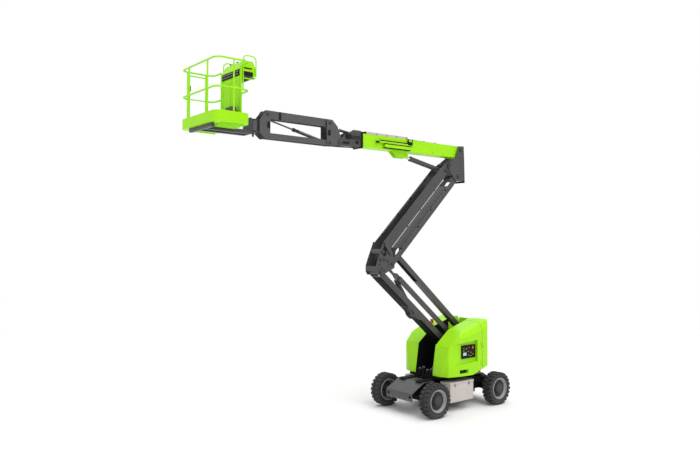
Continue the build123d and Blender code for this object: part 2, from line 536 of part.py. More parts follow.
def build_turntable():
    """The deck with its pivot brackets, the counterweight, the hoods and what they hold."""
    deck = box((HOOD_REAR + 60, DECK_FRONT), (-DECK_HALF_WIDTH, DECK_HALF_WIDTH),
               (DECK_TOP - DECK_THICKNESS, DECK_TOP))
    back = TIMING_FOOT[0] - BRACKET_BACK
    bracket = plate(((back, DECK_TOP), (BRACKET_FRONT, DECK_TOP), (BRACKET_FRONT - 150, DECK_TOP + 255),
                     offset_point(LOWER_FOOT, (60, 62)), offset_point(LINK_FOOT, (50, 62)),
                     offset_point(TIMING_FOOT, (60, 55)), offset_point(TIMING_FOOT, (-BRACKET_BACK, 45)),
                     (back, TIMING_FOOT[1] - 184)), (BRACKET_INNER, BRACKET_INNER + BRACKET_THICKNESS))
    deck += both_sides(bracket)
    outer = BRACKET_INNER + BRACKET_THICKNESS + PIN_HEAD
    for at, half in ((LOWER_FOOT, LOWER_HALF_WIDTH), (LINK_FOOT, LINK_HALF_WIDTH)):
        deck += cross_pin(at, PIN_RADIUS, (-outer, outer))
        deck += both_sides(cross_pin(at, EYE_RADIUS - 8, (half + SIDE_GAP, BRACKET_INNER + 1)))
    deck += both_sides(cross_pin(TIMING_FOOT, EYE_RADIUS - 4, (TIMING_HALF_WIDTH + SIDE_GAP, BRACKET_INNER + 1)))
    wall_sides = (HOOD_INNER, HOOD_INNER + HOOD_WALL)
    slot_wall = hood_solid(0.0, HOOD_BOTTOM) & box((HOOD_SEAM + SEAM_GAP, DECK_FRONT), wall_sides, HOOD_REACH)
    slot_wall += box((HOOD_SEAM + SEAM_GAP, DECK_FRONT - 20), wall_sides, (DECK_TOP - 1, HOOD_BOTTOM + 1))
    keep("turntable", deck + both_sides(slot_wall))

    body = hood_solid(0.0, HOOD_BOTTOM)
    hollow = hood_solid(HOOD_WALL, HOOD_BOTTOM - 50)
    front = box((HOOD_SEAM + SEAM_GAP, 700), (0, 900), HOOD_REACH)
    rear = box((HOOD_REAR - 10, HOOD_SEAM), (0, 900), HOOD_REACH)
    lobe = body & rear
    base = box((HOOD_REAR + 2, HOOD_SEAM), (-HOOD_INNER - 1, HOOD_INNER + 1), (DECK_TOP + 0.3, COUNTERWEIGHT_DECK))
    base -= both_sides(box((HOOD_REAR + 25, HOOD_SEAM + 10), (BRACKET_INNER - 4, BRACKET_INNER + BRACKET_THICKNESS + 4),
                           (700, COUNTERWEIGHT_DECK + 10)))
    rear_wall = box((HOOD_REAR, HOOD_REAR + HOOD_WALL), (-HOOD_INNER - 1, HOOD_INNER + 1),
                    (CROWN[1] - REAR_WALL_DROP - REAR_WALL_HEIGHT, CROWN[1] - REAR_WALL_DROP))
    hinge_x = HOOD_SEAM + SEAM_GAP / 2
    hinge_y = HOOD_HALF_WIDTH + HINGE_OUT
    for z in HOOD_HINGE_HEIGHTS:
        lobe += Pos(hinge_x, hinge_y, z) * Cylinder(HINGE_PIN_RADIUS, 120)
        lobe += Pos(hinge_x, hinge_y, z - 31) * Cylinder(HINGE_OUT, 58)
        lobe += box((HOOD_SEAM - 50, hinge_x), (HOOD_HALF_WIDTH - 2, hinge_y - 1), (z - 60, z - 2))
    keep("counterweight", both_sides(lobe) + base + rear_wall)
    front -= box((-2000, 2000), (0, HOOD_INNER + HOOD_WALL + 4), HOOD_REACH)
    shell = (body - hollow) & front
    for outline in (RECESS, GRIP):
        pocket = plate(outline, (POCKET_FLOOR, HOOD_HALF_WIDTH + 10))
        lining = plate(grown(outline, POCKET_WALL), (POCKET_FLOOR - POCKET_WALL, HOOD_HALF_WIDTH + 10)) & body
        shell = shell + lining - pocket
    for z in HOOD_HINGE_HEIGHTS:
        shell += box((hinge_x, hinge_x + 55), (HOOD_HALF_WIDTH - 2, hinge_y - 1), (z + 2, z + 60))
        shell += Pos(hinge_x, hinge_y, z + 31) * Cylinder(HINGE_OUT, 58)
        shell -= Pos(hinge_x, hinge_y, z + 31) * Cylinder(HINGE_PIN_RADIUS + PIN_GAP, 60)
    keep("left_hood", shell)
    keep("right_hood", mirror(shell, Plane.XZ))
    beacon = Pos(*BEACON) * Cylinder(BEACON_RADIUS, BEACON_HEIGHT, align=(Align.CENTER, Align.CENTER, Align.MIN))
    beacon = fillet(beacon.edges().sort_by(Axis.Z)[-1], BEACON_RADIUS / 2)
    keep("beacon", beacon - Pos(0, 0, SEAT_GAP) * mirror(body, Plane.XZ))
    for name, (x_range, y_range, top) in (("engine", ENGINE), ("power_pack", POWER_PACK)):
        keep(name, box(x_range, y_range, (DECK_TOP + SEAT_GAP, top)))


# ================================================================ riser
def channel_arm(start, angle, length, depth, half_width, web_side, web_range, taper, end_depth):
    """Two side walls joined by a web on one side, with bored bosses at both ends."""
    half = depth / 2
    low_end, high_end = end_depth
    low_taper, high_taper = taper
    outline = ((0, low_end), (low_taper, half), (length - high_taper, half), (length, high_end),
               (length, -high_end), (length - high_taper, -half), (low_taper, -half), (0, -low_end))
    wall = plate(outline, (half_width - ARM_WALL, half_width))
    web_z = (half - ARM_WALL, half) if web_side > 0 else (-half, -half + ARM_WALL)
    arm = both_sides(wall)
    for low, high in web_range:
        arm += box((low, high), (-half_width + 1, half_width - 1), web_z)
    for along, radius in ((0, low_end), (length, high_end)):
        arm += cross_pin((along, 0), radius, (-half_width, half_width))
    for along in (0, length):
        arm -= cross_pin((along, 0), BORE, (-half_width - 1, half_width + 1))
    return on_line(start, angle) * arm


def split_end(at, radius, gap_half, arm):
    """Opens the middle of an arm's end so that a cylinder can pass between its walls."""
    return arm - cross_pin(at, radius, (-gap_half, gap_half))


def build_riser():
    """The lower arm and level link, the knuckle, the two upper arms and the timing link."""
    lower = channel_arm(LOWER_FOOT, LOWER_ANGLE, LOWER_LENGTH, LOWER_DEPTH, LOWER_HALF_WIDTH, -1,
                        ((60, 1320), (1740, 2840)), (60, 60), (LOWER_EYE, LOWER_EYE))
    cheek = plate(((RISER_BASE_ALONG - 170, -50), (RISER_BASE_ALONG + 200, -50), (RISER_BASE_ALONG + 60, -110),
                   (RISER_BASE_ALONG - 60, -110)), (LOWER_HALF_WIDTH - ARM_WALL, LOWER_HALF_WIDTH))
    lower += on_line(LOWER_FOOT, LOWER_ANGLE) * both_sides(cheek)
    lower += cross_pin(RISER_BASE, PIN_RADIUS, (-LOWER_HALF_WIDTH - 6, LOWER_HALF_WIDTH + 6))
    lower += both_sides(cross_pin(RISER_BASE, EYE_RADIUS - 4, (CYLINDER_EYE_HALF + SIDE_GAP, LOWER_HALF_WIDTH)))
    keep("lower_arm", lower)

    length, half = LOWER_LENGTH, LINK_DEPTH / 2
    outline = ((0, 50), (90, half), (length - 330, half), (length - 240, 6), (length, 6), (length + 30, 0),
               (length + 30, -30), (length - 60, -half), (90, -half), (0, -50))
    link = plate(outline, (LINK_BAR[0], LINK_HALF_WIDTH))
    link += box((LINK_BAR_ENDS[0], length - LINK_BAR_ENDS[1]), LINK_BAR, (-half, half))
    for along in (0, length):
        boss = cross_pin((along, 0), EYE_RADIUS, (-LINK_HALF_WIDTH, LINK_HALF_WIDTH))
        link += boss
    for along in (0, length):
        link -= cross_pin((along, 0), BORE, (-LINK_HALF_WIDTH - 1, LINK_HALF_WIDTH + 1))
    keep("level_link", on_line(LINK_FOOT, LOWER_ANGLE) * link)

    inner, half = TIMING_HALF_WIDTH - TIMING_WALL, TIMING_DEPTH / 2
    timing = box((0, TIMING_LENGTH), (-TIMING_HALF_WIDTH, TIMING_HALF_WIDTH), (-half, half))
    for along in (0, TIMING_LENGTH):
        timing += cross_pin((along, 0), half, (-TIMING_HALF_WIDTH, TIMING_HALF_WIDTH))
    timing -= box((TIMING_DEPTH, TIMING_LENGTH - TIMING_FORK), (-inner, inner),
                  (-half + TIMING_WALL, half - TIMING_WALL))
    timing -= box((TIMING_LENGTH - TIMING_FORK, TIMING_LENGTH + half + 1), (-inner, inner), (-half - 1, half + 1))
    timing -= box((TIMING_LENGTH - TIMING_SLOT, TIMING_LENGTH), (-inner, inner), (-half - 1, 0))
    for along in (0, TIMING_LENGTH):
        timing -= cross_pin((along, 0), BORE, (-TIMING_HALF_WIDTH - 1, TIMING_HALF_WIDTH + 1))
    keep("timing_link", on_line(TIMING_FOOT, TIMING_ANGLE) * timing)

    plate_range = (KNUCKLE_INNER, KNUCKLE_INNER + KNUCKLE_PLATE)
    x, z = LOWER_TOP
    outline = ((x - 85, z + 610), (x - 195, z + 610), (x - 334, z + 353), (x - 400, z + 206), (x - 388, z + 78),
               (x - 159, z - 20), (x - 40, z - 62), (x + 75, z - 60), (x + 122, z + 3), (x + 122, z + 129), (x + 64, z + 278))
    knuckle = both_sides(plate(outline, plate_range))
    outer = KNUCKLE_INNER + KNUCKLE_PLATE + PIN_HEAD
    for at, half_width in ((LOWER_TOP, LOWER_HALF_WIDTH), (LINK_TOP, LINK_HALF_WIDTH),
                           (FRONT_FOOT, FRONT_ARM_HALF_WIDTH)):
        knuckle += cross_pin(at, PIN_RADIUS, (-outer, outer))
        knuckle += both_sides(cross_pin(at, EYE_RADIUS - 8, (half_width + SIDE_GAP / 2, KNUCKLE_INNER + 1)))
    knuckle += both_sides(cross_pin(REAR_FOOT, PIN_RADIUS, (CYLINDER_EYE_HALF + SIDE_GAP, outer)))
    knuckle += box((x + 110, x + 122), (-KNUCKLE_INNER - 1, KNUCKLE_INNER + 1), (z + 12, z + 125))
    keep("mid_knuckle", knuckle)

    front = channel_arm(FRONT_FOOT, UPPER_ANGLE, UPPER_LENGTH, FRONT_ARM_DEPTH, FRONT_ARM_HALF_WIDTH, 1,
                        ((200, UPPER_LENGTH - 600),), (180, 260), (62, 58))
    front = split_end(FRONT_TOP, 70, BOOM_BARREL_RADIUS + 12, front)
    keep("front_upper_arm", front)

    rear = channel_arm(REAR_FOOT, UPPER_ANGLE, UPPER_LENGTH, REAR_ARM_DEPTH, REAR_ARM_HALF_WIDTH, -1,
                       ((420, UPPER_LENGTH - 400),), (180, 300), (52, 46))
    rear = split_end(REAR_FOOT, 60, LINK_HALF_WIDTH + SIDE_GAP, rear)
    local = on_line(REAR_FOOT, UPPER_ANGLE).to_local_coords(Vector(TIMING_TOP[0], 0, TIMING_TOP[1]))
    web_z = -REAR_ARM_DEPTH / 2 + 2
    lug = plate(((local.X - 38, local.Z), (local.X + 38, local.Z), (560, web_z), (425, web_z)),
                (TIMING_HALF_WIDTH + SIDE_GAP, TIMING_HALF_WIDTH + SIDE_GAP + LUG_PLATE))
    rear += on_line(REAR_FOOT, UPPER_ANGLE) * both_sides(lug)
    rear += both_sides(cross_pin(TIMING_TOP, 38, (TIMING_HALF_WIDTH + SIDE_GAP, TIMING_HALF_WIDTH + SIDE_GAP + LUG_PLATE)))
    rear += both_sides(cross_pin(TIMING_TOP, PIN_RADIUS, (TIMING_HALF_WIDTH - TIMING_WALL, TIMING_HALF_WIDTH + SIDE_GAP + 5)))
    keep("rear_upper_arm", rear)

    x, z = FRONT_TOP
    outline = ((x + 41, z + 18), (x + 60, z - 40), (x - 198, z - 371), (x - 503, z - 345), (x - 494, z + 60),
               (x - 476, z + 460), (x - 300, z + 450), (x - 200, z + 180))
    top = both_sides(plate(outline, plate_range))
    for at, half_width in ((FRONT_TOP, FRONT_ARM_HALF_WIDTH), (REAR_TOP, REAR_ARM_HALF_WIDTH),
                           (BOOM_PIVOT, BOOM_HALF_WIDTH + BOOM_BOSS)):
        top += cross_pin(at, PIN_RADIUS, (-outer, outer))
        top += both_sides(cross_pin(at, EYE_RADIUS - 8, (half_width + SIDE_GAP / 2, KNUCKLE_INNER + 1)))
    tie = offset_point(FRONT_TOP, KNUCKLE_TIE_OFFSET)
    top += cross_pin(tie, KNUCKLE_TIE_RADIUS, (-KNUCKLE_INNER - 1, KNUCKLE_INNER + 1))
    lug_range = (BOOM_LUG_INNER + 14, BOOM_LUG_INNER + 28)
    u = BOOM_CYLINDER_BASE
    top += both_sides(plate(((tie[0], tie[1] - 30), (u[0], u[1] - 36), (u[0], u[1] + 36), (tie[0], tie[1] + 20)), lug_range))
    top += both_sides(cross_pin(u, 38, (CYLINDER_EYE_HALF + 14, lug_range[1])))
    top += cross_pin(u, PIN_RADIUS, (-lug_range[1] - 5, lug_range[1] + 5))
    keep("top_knuckle", top)


def build_cylinder(name, base, tip, barrel_length, barrel_radius, rod_radius, eye_half, end_radius, base_bore,
                   inside=PISTON_SHARE):
    """A hydraulic cylinder from a bored base eye to an open rod eye."""
    angle = direction_of(base, tip)
    length = hypot(tip[0] - base[0], tip[1] - base[1])
    frame = on_line(base, angle)
    wall = barrel_radius - rod_radius - 6
    lie = Rot(0, 90, 0)
    floor = end_radius + 16
    barrel = Pos(floor / 2 + barrel_length / 2, 0, 0) * lie * Cylinder(barrel_radius, barrel_length - floor)
    barrel -= Pos((floor + barrel_length) / 2 + 10, 0, 0) * lie * Cylinder(
        barrel_radius - wall, barrel_length - floor)
    barrel += Pos(barrel_length - 20, 0, 0) * lie * (
        Cylinder(barrel_radius + 3, 40) - Cylinder(rod_radius + PIN_GAP, 42))
    neck = box((0, floor + 1), (-min(eye_half, barrel_radius * 0.7), min(eye_half, barrel_radius * 0.7)),
               (-barrel_radius * 0.62, barrel_radius * 0.62))
    barrel += neck + cross_pin((0, 0), end_radius, (-eye_half, eye_half))
    barrel -= cross_pin((0, 0), base_bore, (-eye_half - 1, eye_half + 1))
    keep(name + "_barrel", frame * barrel)
    start = barrel_length * inside
    rod = Pos((start + length) / 2, 0, 0) * lie * Cylinder(rod_radius, length - start)
    rod += cross_pin((length, 0), end_radius, (-eye_half, eye_half))
    rod -= cross_pin((length, 0), base_bore, (-eye_half - 1, eye_half + 1))
    keep(name + "_rod", frame * rod)


# ================================================================ boom and jib
def build_boom():
    """The boom with its lug and guides, and the telescoping section."""
    half = BOOM_HALF_WIDTH
    boom = box((BOOM_REAR, BOOM_FRONT), (-half, half), (BOOM_BOTTOM, BOOM_TOP))
    boom -= box((BOOM_REAR + 60, BOOM_FRONT + 1), (-half + BOOM_WALL, half - BOOM_WALL),
                (BOOM_BOTTOM + BOOM_WALL, BOOM_TOP - BOOM_WALL))
    x, z = BOOM_LUG
    lug = plate(((x - 10, BOOM_BOTTOM + 1), (x - 45, z + 10), (x - 20, z - 40), (x + 290, z - 40),
                 (x + 440, BOOM_BOTTOM + 1)), (BOOM_LUG_INNER, BOOM_LUG_INNER + BOOM_LUG_PLATE))
    boom += both_sides(lug)
    boom += both_sides(cross_pin(BOOM_LUG, EYE_RADIUS - 6, (CYLINDER_EYE_HALF + 4, BOOM_LUG_INNER + BOOM_LUG_PLATE + 6)))
    boom += cross_pin(BOOM_PIVOT, 64, (-half - BOOM_BOSS, half + BOOM_BOSS))
    boom -= cross_pin(BOOM_PIVOT, BORE, (-half - BOOM_BOSS - 1, half + BOOM_BOSS + 1))
    keep("boom", boom)
    x, z = BOOM_PIVOT
    channel = box((x + CHANNEL[0], x + CHANNEL[1]), CHANNEL_SIDES, (BOOM_TOP + SEAT_GAP, BOOM_TOP + CHANNEL_HEIGHT))
    tray = box((x + TRAY[0], x + TRAY[1]), (half + SEAT_GAP, half + TRAY_DEPTH), (z - TRAY_HEIGHT, z))
    keep("boom_cable_guides", channel + tray)

    gap = BOOM_WALL + TELESCOPE_GAP
    outer = half - gap
    low, high = BOOM_BOTTOM + gap, BOOM_TOP - gap
    tube = box((TELESCOPE_REAR, TELESCOPE_FRONT), (-outer, outer), (low, high))
    pad = outer + TELESCOPE_GAP - SEAT_GAP
    tube += box((TELESCOPE_REAR + 10, TELESCOPE_REAR + 80), (-pad, pad), (low - pad + outer, high + pad - outer))
    tube -= box((TELESCOPE_REAR - 1, TELESCOPE_FRONT + 1), (-outer + TELESCOPE_WALL, outer - TELESCOPE_WALL),
                (low + TELESCOPE_WALL, high - TELESCOPE_WALL))
    px, pz = LEVEL_PIVOT
    nose = ((BOOM_FRONT + 12, BOOM_BOTTOM - 8), (BOOM_FRONT + 12, BOOM_TOP + 50), (LEVEL_BASE[0] + 60, BOOM_TOP + 50),
            (px - 110, pz + 160), (px + 20, pz + 58), (px + 55, pz), (px + 20, pz - 55), (px - 160, BOOM_BOTTOM - 25))
    tube += both_sides(plate(nose, (outer - 1, outer + NOSE_PLATE)))
    tube += box((px - 360, px - 110), (-outer, outer), (BOOM_BOTTOM - 8, BOOM_BOTTOM + 4))
    tube += cross_pin(LEVEL_PIVOT, JIB_PIN_RADIUS, (-outer - NOSE_PLATE - 6, outer + NOSE_PLATE + 6))
    tube += cross_pin(LEVEL_BASE, LEVEL_PIN_RADIUS, (-outer - NOSE_PLATE - 4, outer + NOSE_PLATE + 4))
    keep("telescope", tube)


def jib_link(z, depth, y_range, webs):
    """One pair of the jib's parallel bars, bored at both ends."""
    half = depth / 2
    low, high = y_range
    bar = both_sides(plate(((JIB_REAR, z - half), (JIB_FRONT, z - half), (JIB_FRONT, z + half), (JIB_REAR, z + half)),
                           y_range))
    for x in (JIB_REAR, JIB_FRONT):
        bar += both_sides(cross_pin((x, z), half, y_range))
    for start, end in webs:
        bar += box((start, end), (-high + 1, high - 1), (z + half - 8, z + half))
    for x in (JIB_REAR, JIB_FRONT):
        bar -= cross_pin((x, z), JIB_PIN_RADIUS + PIN_GAP, (-high - 1, high + 1))
    return bar


def build_jib():
    """The jib base, the two pairs of bars and the jib head with its rotator."""
    plate_range = (JIB_PLATE_INNER, JIB_PLATE_INNER + JIB_PLATE)
    px, pz = LEVEL_PIVOT
    base_outline = ((JIB_REAR + 75, JIB_UPPER_Z + 70), (JIB_REAR - 60, JIB_UPPER_Z + 70), (px + 60, LEVEL_EYE[1] + 20),
                    (px - 50, pz + 60), (px - 50, pz - 50), (JIB_REAR, JIB_LOWER_Z - 50), (JIB_REAR + 75, JIB_LOWER_Z - 30))
    base = both_sides(plate(base_outline, plate_range, JIB_CORNER))
    base -= cross_pin(LEVEL_PIVOT, JIB_PIN_RADIUS + PIN_GAP, (-300, 300))
    for x, z, inner in ((JIB_REAR, JIB_UPPER_Z, JIB_UPPER_HALF), (JIB_REAR, JIB_LOWER_Z, JIB_LOWER_OUTER)):
        base += cross_pin((x, z), JIB_PIN_RADIUS, (-JIB_PLATE_INNER - JIB_PLATE - 5, JIB_PLATE_INNER + JIB_PLATE + 5))
        base += both_sides(cross_pin((x, z), JIB_BOSS, (inner + 4, JIB_PLATE_INNER + 1)))
    base += both_sides(cross_pin(LEVEL_EYE, LEVEL_PIN_RADIUS, (LEVEL_EYE_HALF + 4, JIB_PLATE_INNER + 1)))
    base += box((px + 150, px + 165), (-JIB_PLATE_INNER - 1, JIB_PLATE_INNER + 1), (pz + 120, pz + 240))
    keep("jib_base", base)
    keep("jib_upper_arm", jib_link(JIB_UPPER_Z, JIB_UPPER_DEPTH, (JIB_UPPER_HALF - 8, JIB_UPPER_HALF),
                                   ((JIB_REAR + 60, JIB_REAR + JIB_WEB),))
         + both_sides(cross_pin(JIB_EYE, JIB_PIN_RADIUS, (JIB_CYLINDER_EYE_HALF + 4, JIB_UPPER_HALF))))
    keep("jib_lower_arm", jib_link(JIB_LOWER_Z, JIB_LOWER_DEPTH, (JIB_LOWER_INNER, JIB_LOWER_OUTER), ()))
    front = JIB_FRONT
    head_outline = ((front - 60, JIB_UPPER_Z + 70), (front + 20, JIB_UPPER_Z + 70), (ROTATOR_X - 80, ROTATOR_TOP),
                    (ROTATOR_X - 80, ROTATOR_BOTTOM + 60), (front + 40, JIB_LOWER_Z - 60), (front - 60, JIB_LOWER_Z - 40))
    head = both_sides(plate(head_outline, plate_range, JIB_CORNER))
    head += box((ROTATOR_X - 92, ROTATOR_X - 80), (-JIB_PLATE_INNER - 1, JIB_PLATE_INNER + 1),
                (ROTATOR_BOTTOM + 80, ROTATOR_TOP - 20))
    for z, inner in ((JIB_UPPER_Z, JIB_UPPER_HALF), (JIB_LOWER_Z, JIB_LOWER_OUTER)):
        head += both_sides(cross_pin((front, z), JIB_PIN_RADIUS, (inner - JIB_LINK_WALL, JIB_PLATE_INNER + JIB_PLATE + 5)))
        head += both_sides(cross_pin((front, z), JIB_BOSS, (inner + 4, JIB_PLATE_INNER + 1)))
    low, high = ROTATOR_BOTTOM + 80, ROTATOR_TOP - 20
    body = Pos(ROTATOR_X, 0, (low + high) / 2) * Cylinder(ROTATOR_RADIUS, high - low)
    body -= Pos(ROTATOR_X, 0, (low + high) / 2) * Cylinder(JIB_PIN_RADIUS + PIN_GAP, 2 * ROTATOR_HEIGHT)
    keep("jib_head", head + body)


# ================================================================ platform
def floor_plan(inset):
    """The platform's rounded plan as a flat face, drawn in by an inset."""
    length = FLOOR_FRONT - FLOOR_REAR - 2 * inset
    width = 2 * (FLOOR_HALF_WIDTH - inset)
    centre = (FLOOR_FRONT + FLOOR_REAR) / 2
    return Pos(centre, 0, 0) * RectangleRounded(length, width, CORNER_RADIUS - inset)


def rail_loop(z, start_y, end_y):
    """A rail around the platform, from the rear on one side to the rear on the other."""
    inset = TOE_WALL + RAIL_RADIUS + SEAT_GAP
    rear, front, side = FLOOR_REAR + inset, FLOOR_FRONT - inset, FLOOR_HALF_WIDTH - inset
    points = ((rear, start_y, z), (rear, side, z), (front, side, z), (front, -side, z), (rear, -side, z), (rear, end_y, z))
    return bent_tube(points, RAIL_RADIUS, CORNER_RADIUS - inset)


def build_platform():
    """The turning mount, the floor with its toe boards, the rails, the gate and controls."""
    mount = Pos(ROTATOR_X, 0, (ROTATOR_BOTTOM + ROTATOR_TOP) / 2) * Cylinder(JIB_PIN_RADIUS, ROTATOR_TOP - ROTATOR_BOTTOM + 40)
    for low in (ROTATOR_BOTTOM + 50, ROTATOR_TOP - 8):
        mount += Pos(ROTATOR_X, 0, low + 10) * Cylinder(70, 20)
        mount += box((ROTATOR_X, ROTATOR_X + 130), (-60, 60), (low, low + 20))
    mount += box((ROTATOR_X + 110, ROTATOR_X + 130), (-140, 140), (ROTATOR_BOTTOM, ROTATOR_TOP + 12))
    mount += box((ROTATOR_X + 120, FLOOR_FRONT - 60), (-140, -80), (ROTATOR_BOTTOM, FLOOR_BOTTOM - 0.3))
    mount += box((ROTATOR_X + 120, FLOOR_FRONT - 60), (80, 140), (ROTATOR_BOTTOM, FLOOR_BOTTOM - 0.3))
    mount += box((FLOOR_FRONT - 120, FLOOR_FRONT - 60), (-420, 420), (ROTATOR_BOTTOM, FLOOR_BOTTOM - 0.3))
    keep("platform_mount", mount)

    floor = Pos(0, 0, FLOOR_BOTTOM) * extrude(floor_plan(0), FLOOR_THICKNESS)
    for y in FLOOR_RIBS:
        for side in (1, -1):
            floor += box((FLOOR_REAR + 60, FLOOR_FRONT - 180), (side * y - 15, side * y + 15),
                         (FLOOR_BOTTOM - FLOOR_RIB_DEPTH, FLOOR_BOTTOM + 1))
    wall = Pos(0, 0, FLOOR_BOTTOM) * extrude(floor_plan(0) - floor_plan(TOE_WALL), TOE_TOP - FLOOR_BOTTOM)
    keep("platform_floor", floor + wall)

    inset = TOE_WALL + RAIL_RADIUS + SEAT_GAP
    rear, front, side = FLOOR_REAR + inset, FLOOR_FRONT - inset, FLOOR_HALF_WIDTH - inset
    rails = rail_loop(TOP_RAIL_Z, REAR_POST_Y, -REAR_POST_Y)
    mid_z = MID_RAIL_Z
    rails += bent_tube(((rear, REAR_POST_Y, mid_z), (rear, side, mid_z), (front, side, mid_z), (front, -side, mid_z),
                        (GATE_REAR + GATE_WIDTH + GATE_GAP, -side, mid_z)), RAIL_RADIUS, CORNER_RADIUS - inset)
    rails += bent_tube(((GATE_REAR - GATE_GAP, -side, mid_z), (rear, -side, mid_z), (rear, -REAR_POST_Y, mid_z)),
                       RAIL_RADIUS, CORNER_RADIUS - inset)
    base_z = FLOOR_BOTTOM + FLOOR_THICKNESS + 0.3
    gate_posts = (GATE_REAR - GATE_GAP - RAIL_RADIUS, GATE_REAR + GATE_WIDTH + GATE_GAP + RAIL_RADIUS)
    posts = ((front, FRONT_POST_Y), (front, -FRONT_POST_Y), (FLOOR_REAR + SIDE_POST_SETBACK, side),
             (gate_posts[0], -side), (gate_posts[1], -side), (rear, REAR_POST_Y), (rear, -REAR_POST_Y))
    for x, y in posts:
        rails += rod_between((x, y, base_z), (x, y, TOP_RAIL_Z), POST_RADIUS)
    gate_y = -side
    rails += box((gate_posts[0], GATE_REAR + 13), (gate_y - 12, gate_y + 12),
                 (TOE_TOP + 14, TOE_TOP + 32 - SEAT_GAP))
    keep("platform_rails", rails)
    gate_x = (GATE_REAR, GATE_REAR + GATE_WIDTH)
    gate_foot = TOE_TOP + 32
    gate = rod_between((gate_x[0], gate_y, gate_foot), (gate_x[0], gate_y, TOP_RAIL_Z - RAIL_RADIUS - SEAT_GAP), 13)
    gate += rod_between((gate_x[1], gate_y, TOE_TOP + 60), (gate_x[1], gate_y, TOP_RAIL_Z - 60), 13)
    for z in (TOE_TOP + 60, mid_z, TOP_RAIL_Z - 60):
        gate += rod_between((gate_x[0], gate_y, z), (gate_x[1], gate_y, z), 11)
    keep("platform_gate", gate)

    panel_half = REAR_POST_Y - POST_RADIUS - SEAT_GAP
    panel_top = TOP_RAIL_Z - PANEL_DROP
    panel = box((rear - 4, rear + 4), (-panel_half, panel_half), (base_z, panel_top - SEAT_GAP))
    for y in PANEL_RIBS:
        panel += box((rear - 16, rear - 3), (y - 22, y + 22), (base_z + 40, panel_top - 60))
    keep("platform_back_panel", panel)
    back, base = FLOOR_REAR + 27, TOP_RAIL_Z - CONTROLS_DROP
    outline = ((back - 313, base), (back - 313, base + 130), (back - 258, base + 250), (back - 78, base + 250),
               (back, base + 100), (back, panel_top))
    keep("platform_controls", plate(outline, (-CONTROLS_HALF_WIDTH, CONTROLS_HALF_WIDTH)))
    near, far = FLOOR_REAR - 20, FLOOR_REAR - 281
    out = CONTROLS_HALF_WIDTH + 25
    low, high = base - 70, base + 336
    hoop = bent_tube(((near, out, low - 230), (near, out, high), (far, out, high), (far, out, low), (near, out, low)),
                     HOOP_RADIUS, HOOP_CORNER)
    for x in (near, far + 2):
        hoop += cross_pin((x, base + 55), HOOP_RADIUS - 2, (CONTROLS_HALF_WIDTH + SEAT_GAP, out))
    keep("control_guards", both_sides(hoop))
    switch = FLOOR_REAR + 99
    keep("foot_switch", plate(((switch, base_z), (switch, base_z + 130), (switch + 60, base_z + 150),
                               (switch + 150, base_z + 90), (switch + 150, base_z)), (100, 300), 8.0))


if __name__ == "__main__":
    build_wheels()
    build_steering()
    build_chassis()
    build_turntable()
    build_riser()
    build_cylinder("riser_cylinder", RISER_BASE, REAR_FOOT, RISER_BARREL_LENGTH, RISER_BARREL_RADIUS,
                   RISER_ROD_RADIUS, CYLINDER_EYE_HALF, EYE_RADIUS, BORE)
    build_cylinder("boom_cylinder", BOOM_CYLINDER_BASE, BOOM_LUG, BOOM_BARREL_LENGTH, BOOM_BARREL_RADIUS,
                   BOOM_ROD_RADIUS, CYLINDER_EYE_HALF, EYE_RADIUS, BORE)
    build_boom()
    build_cylinder("level_cylinder", LEVEL_BASE, LEVEL_EYE, LEVEL_BARREL_LENGTH, LEVEL_BARREL_RADIUS,
                   LEVEL_ROD_RADIUS, LEVEL_EYE_HALF, LEVEL_EYE_RADIUS, LEVEL_PIN_RADIUS + PIN_GAP)
    build_jib()
    build_cylinder("jib_cylinder", (JIB_REAR, JIB_LOWER_Z), JIB_EYE, JIB_BARREL_LENGTH, JIB_BARREL_RADIUS,
                   JIB_ROD_RADIUS, JIB_CYLINDER_EYE_HALF, JIB_EYE_RADIUS, JIB_PIN_RADIUS + PIN_GAP, JIB_PISTON_SHARE)
    build_platform()
    os.makedirs("parts", exist_ok=True)
    for name, shape in PARTS.items():
        export_step(Pos(-CENTRE_X, 0, 0) * shape, "parts/" + name + ".step")
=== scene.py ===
"""Looks of an articulating boom lift: finishes, fittings, hoses, tyres, floor, lamps and camera.

Lengths are metres in the machine's own frame: +X the way the boom points, +Y its left, +Z up.
"""
from __future__ import annotations

import json
import logging
import math
from collections.abc import Iterable
from dataclasses import dataclass, field
from enum import Enum
from typing import NamedTuple

import bmesh
import bpy
from mathutils import Matrix, Vector
from mathutils.geometry import interpolate_bezier


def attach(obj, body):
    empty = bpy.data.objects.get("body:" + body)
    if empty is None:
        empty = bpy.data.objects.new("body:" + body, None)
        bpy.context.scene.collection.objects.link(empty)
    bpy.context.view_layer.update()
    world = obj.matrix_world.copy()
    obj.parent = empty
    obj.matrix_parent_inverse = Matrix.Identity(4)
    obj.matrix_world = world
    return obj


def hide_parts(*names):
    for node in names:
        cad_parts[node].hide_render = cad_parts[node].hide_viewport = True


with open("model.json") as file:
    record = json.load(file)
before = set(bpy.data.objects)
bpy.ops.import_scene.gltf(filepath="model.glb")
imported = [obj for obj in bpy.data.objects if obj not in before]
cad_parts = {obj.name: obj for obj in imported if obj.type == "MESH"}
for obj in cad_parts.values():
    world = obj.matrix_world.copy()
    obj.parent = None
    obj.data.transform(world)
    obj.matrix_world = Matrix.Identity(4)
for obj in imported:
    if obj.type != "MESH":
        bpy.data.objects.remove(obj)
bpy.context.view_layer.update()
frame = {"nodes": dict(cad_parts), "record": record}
LOG = logging.getLogger("boom_lift")
MM = 0.001
X_AXIS = Vector((1.0, 0.0, 0.0))
Y_AXIS = Vector((0.0, 1.0, 0.0))
Z_AXIS = Vector((0.0, 0.0, 1.0))
SIDES = (("left", 1.0), ("right", -1.0))

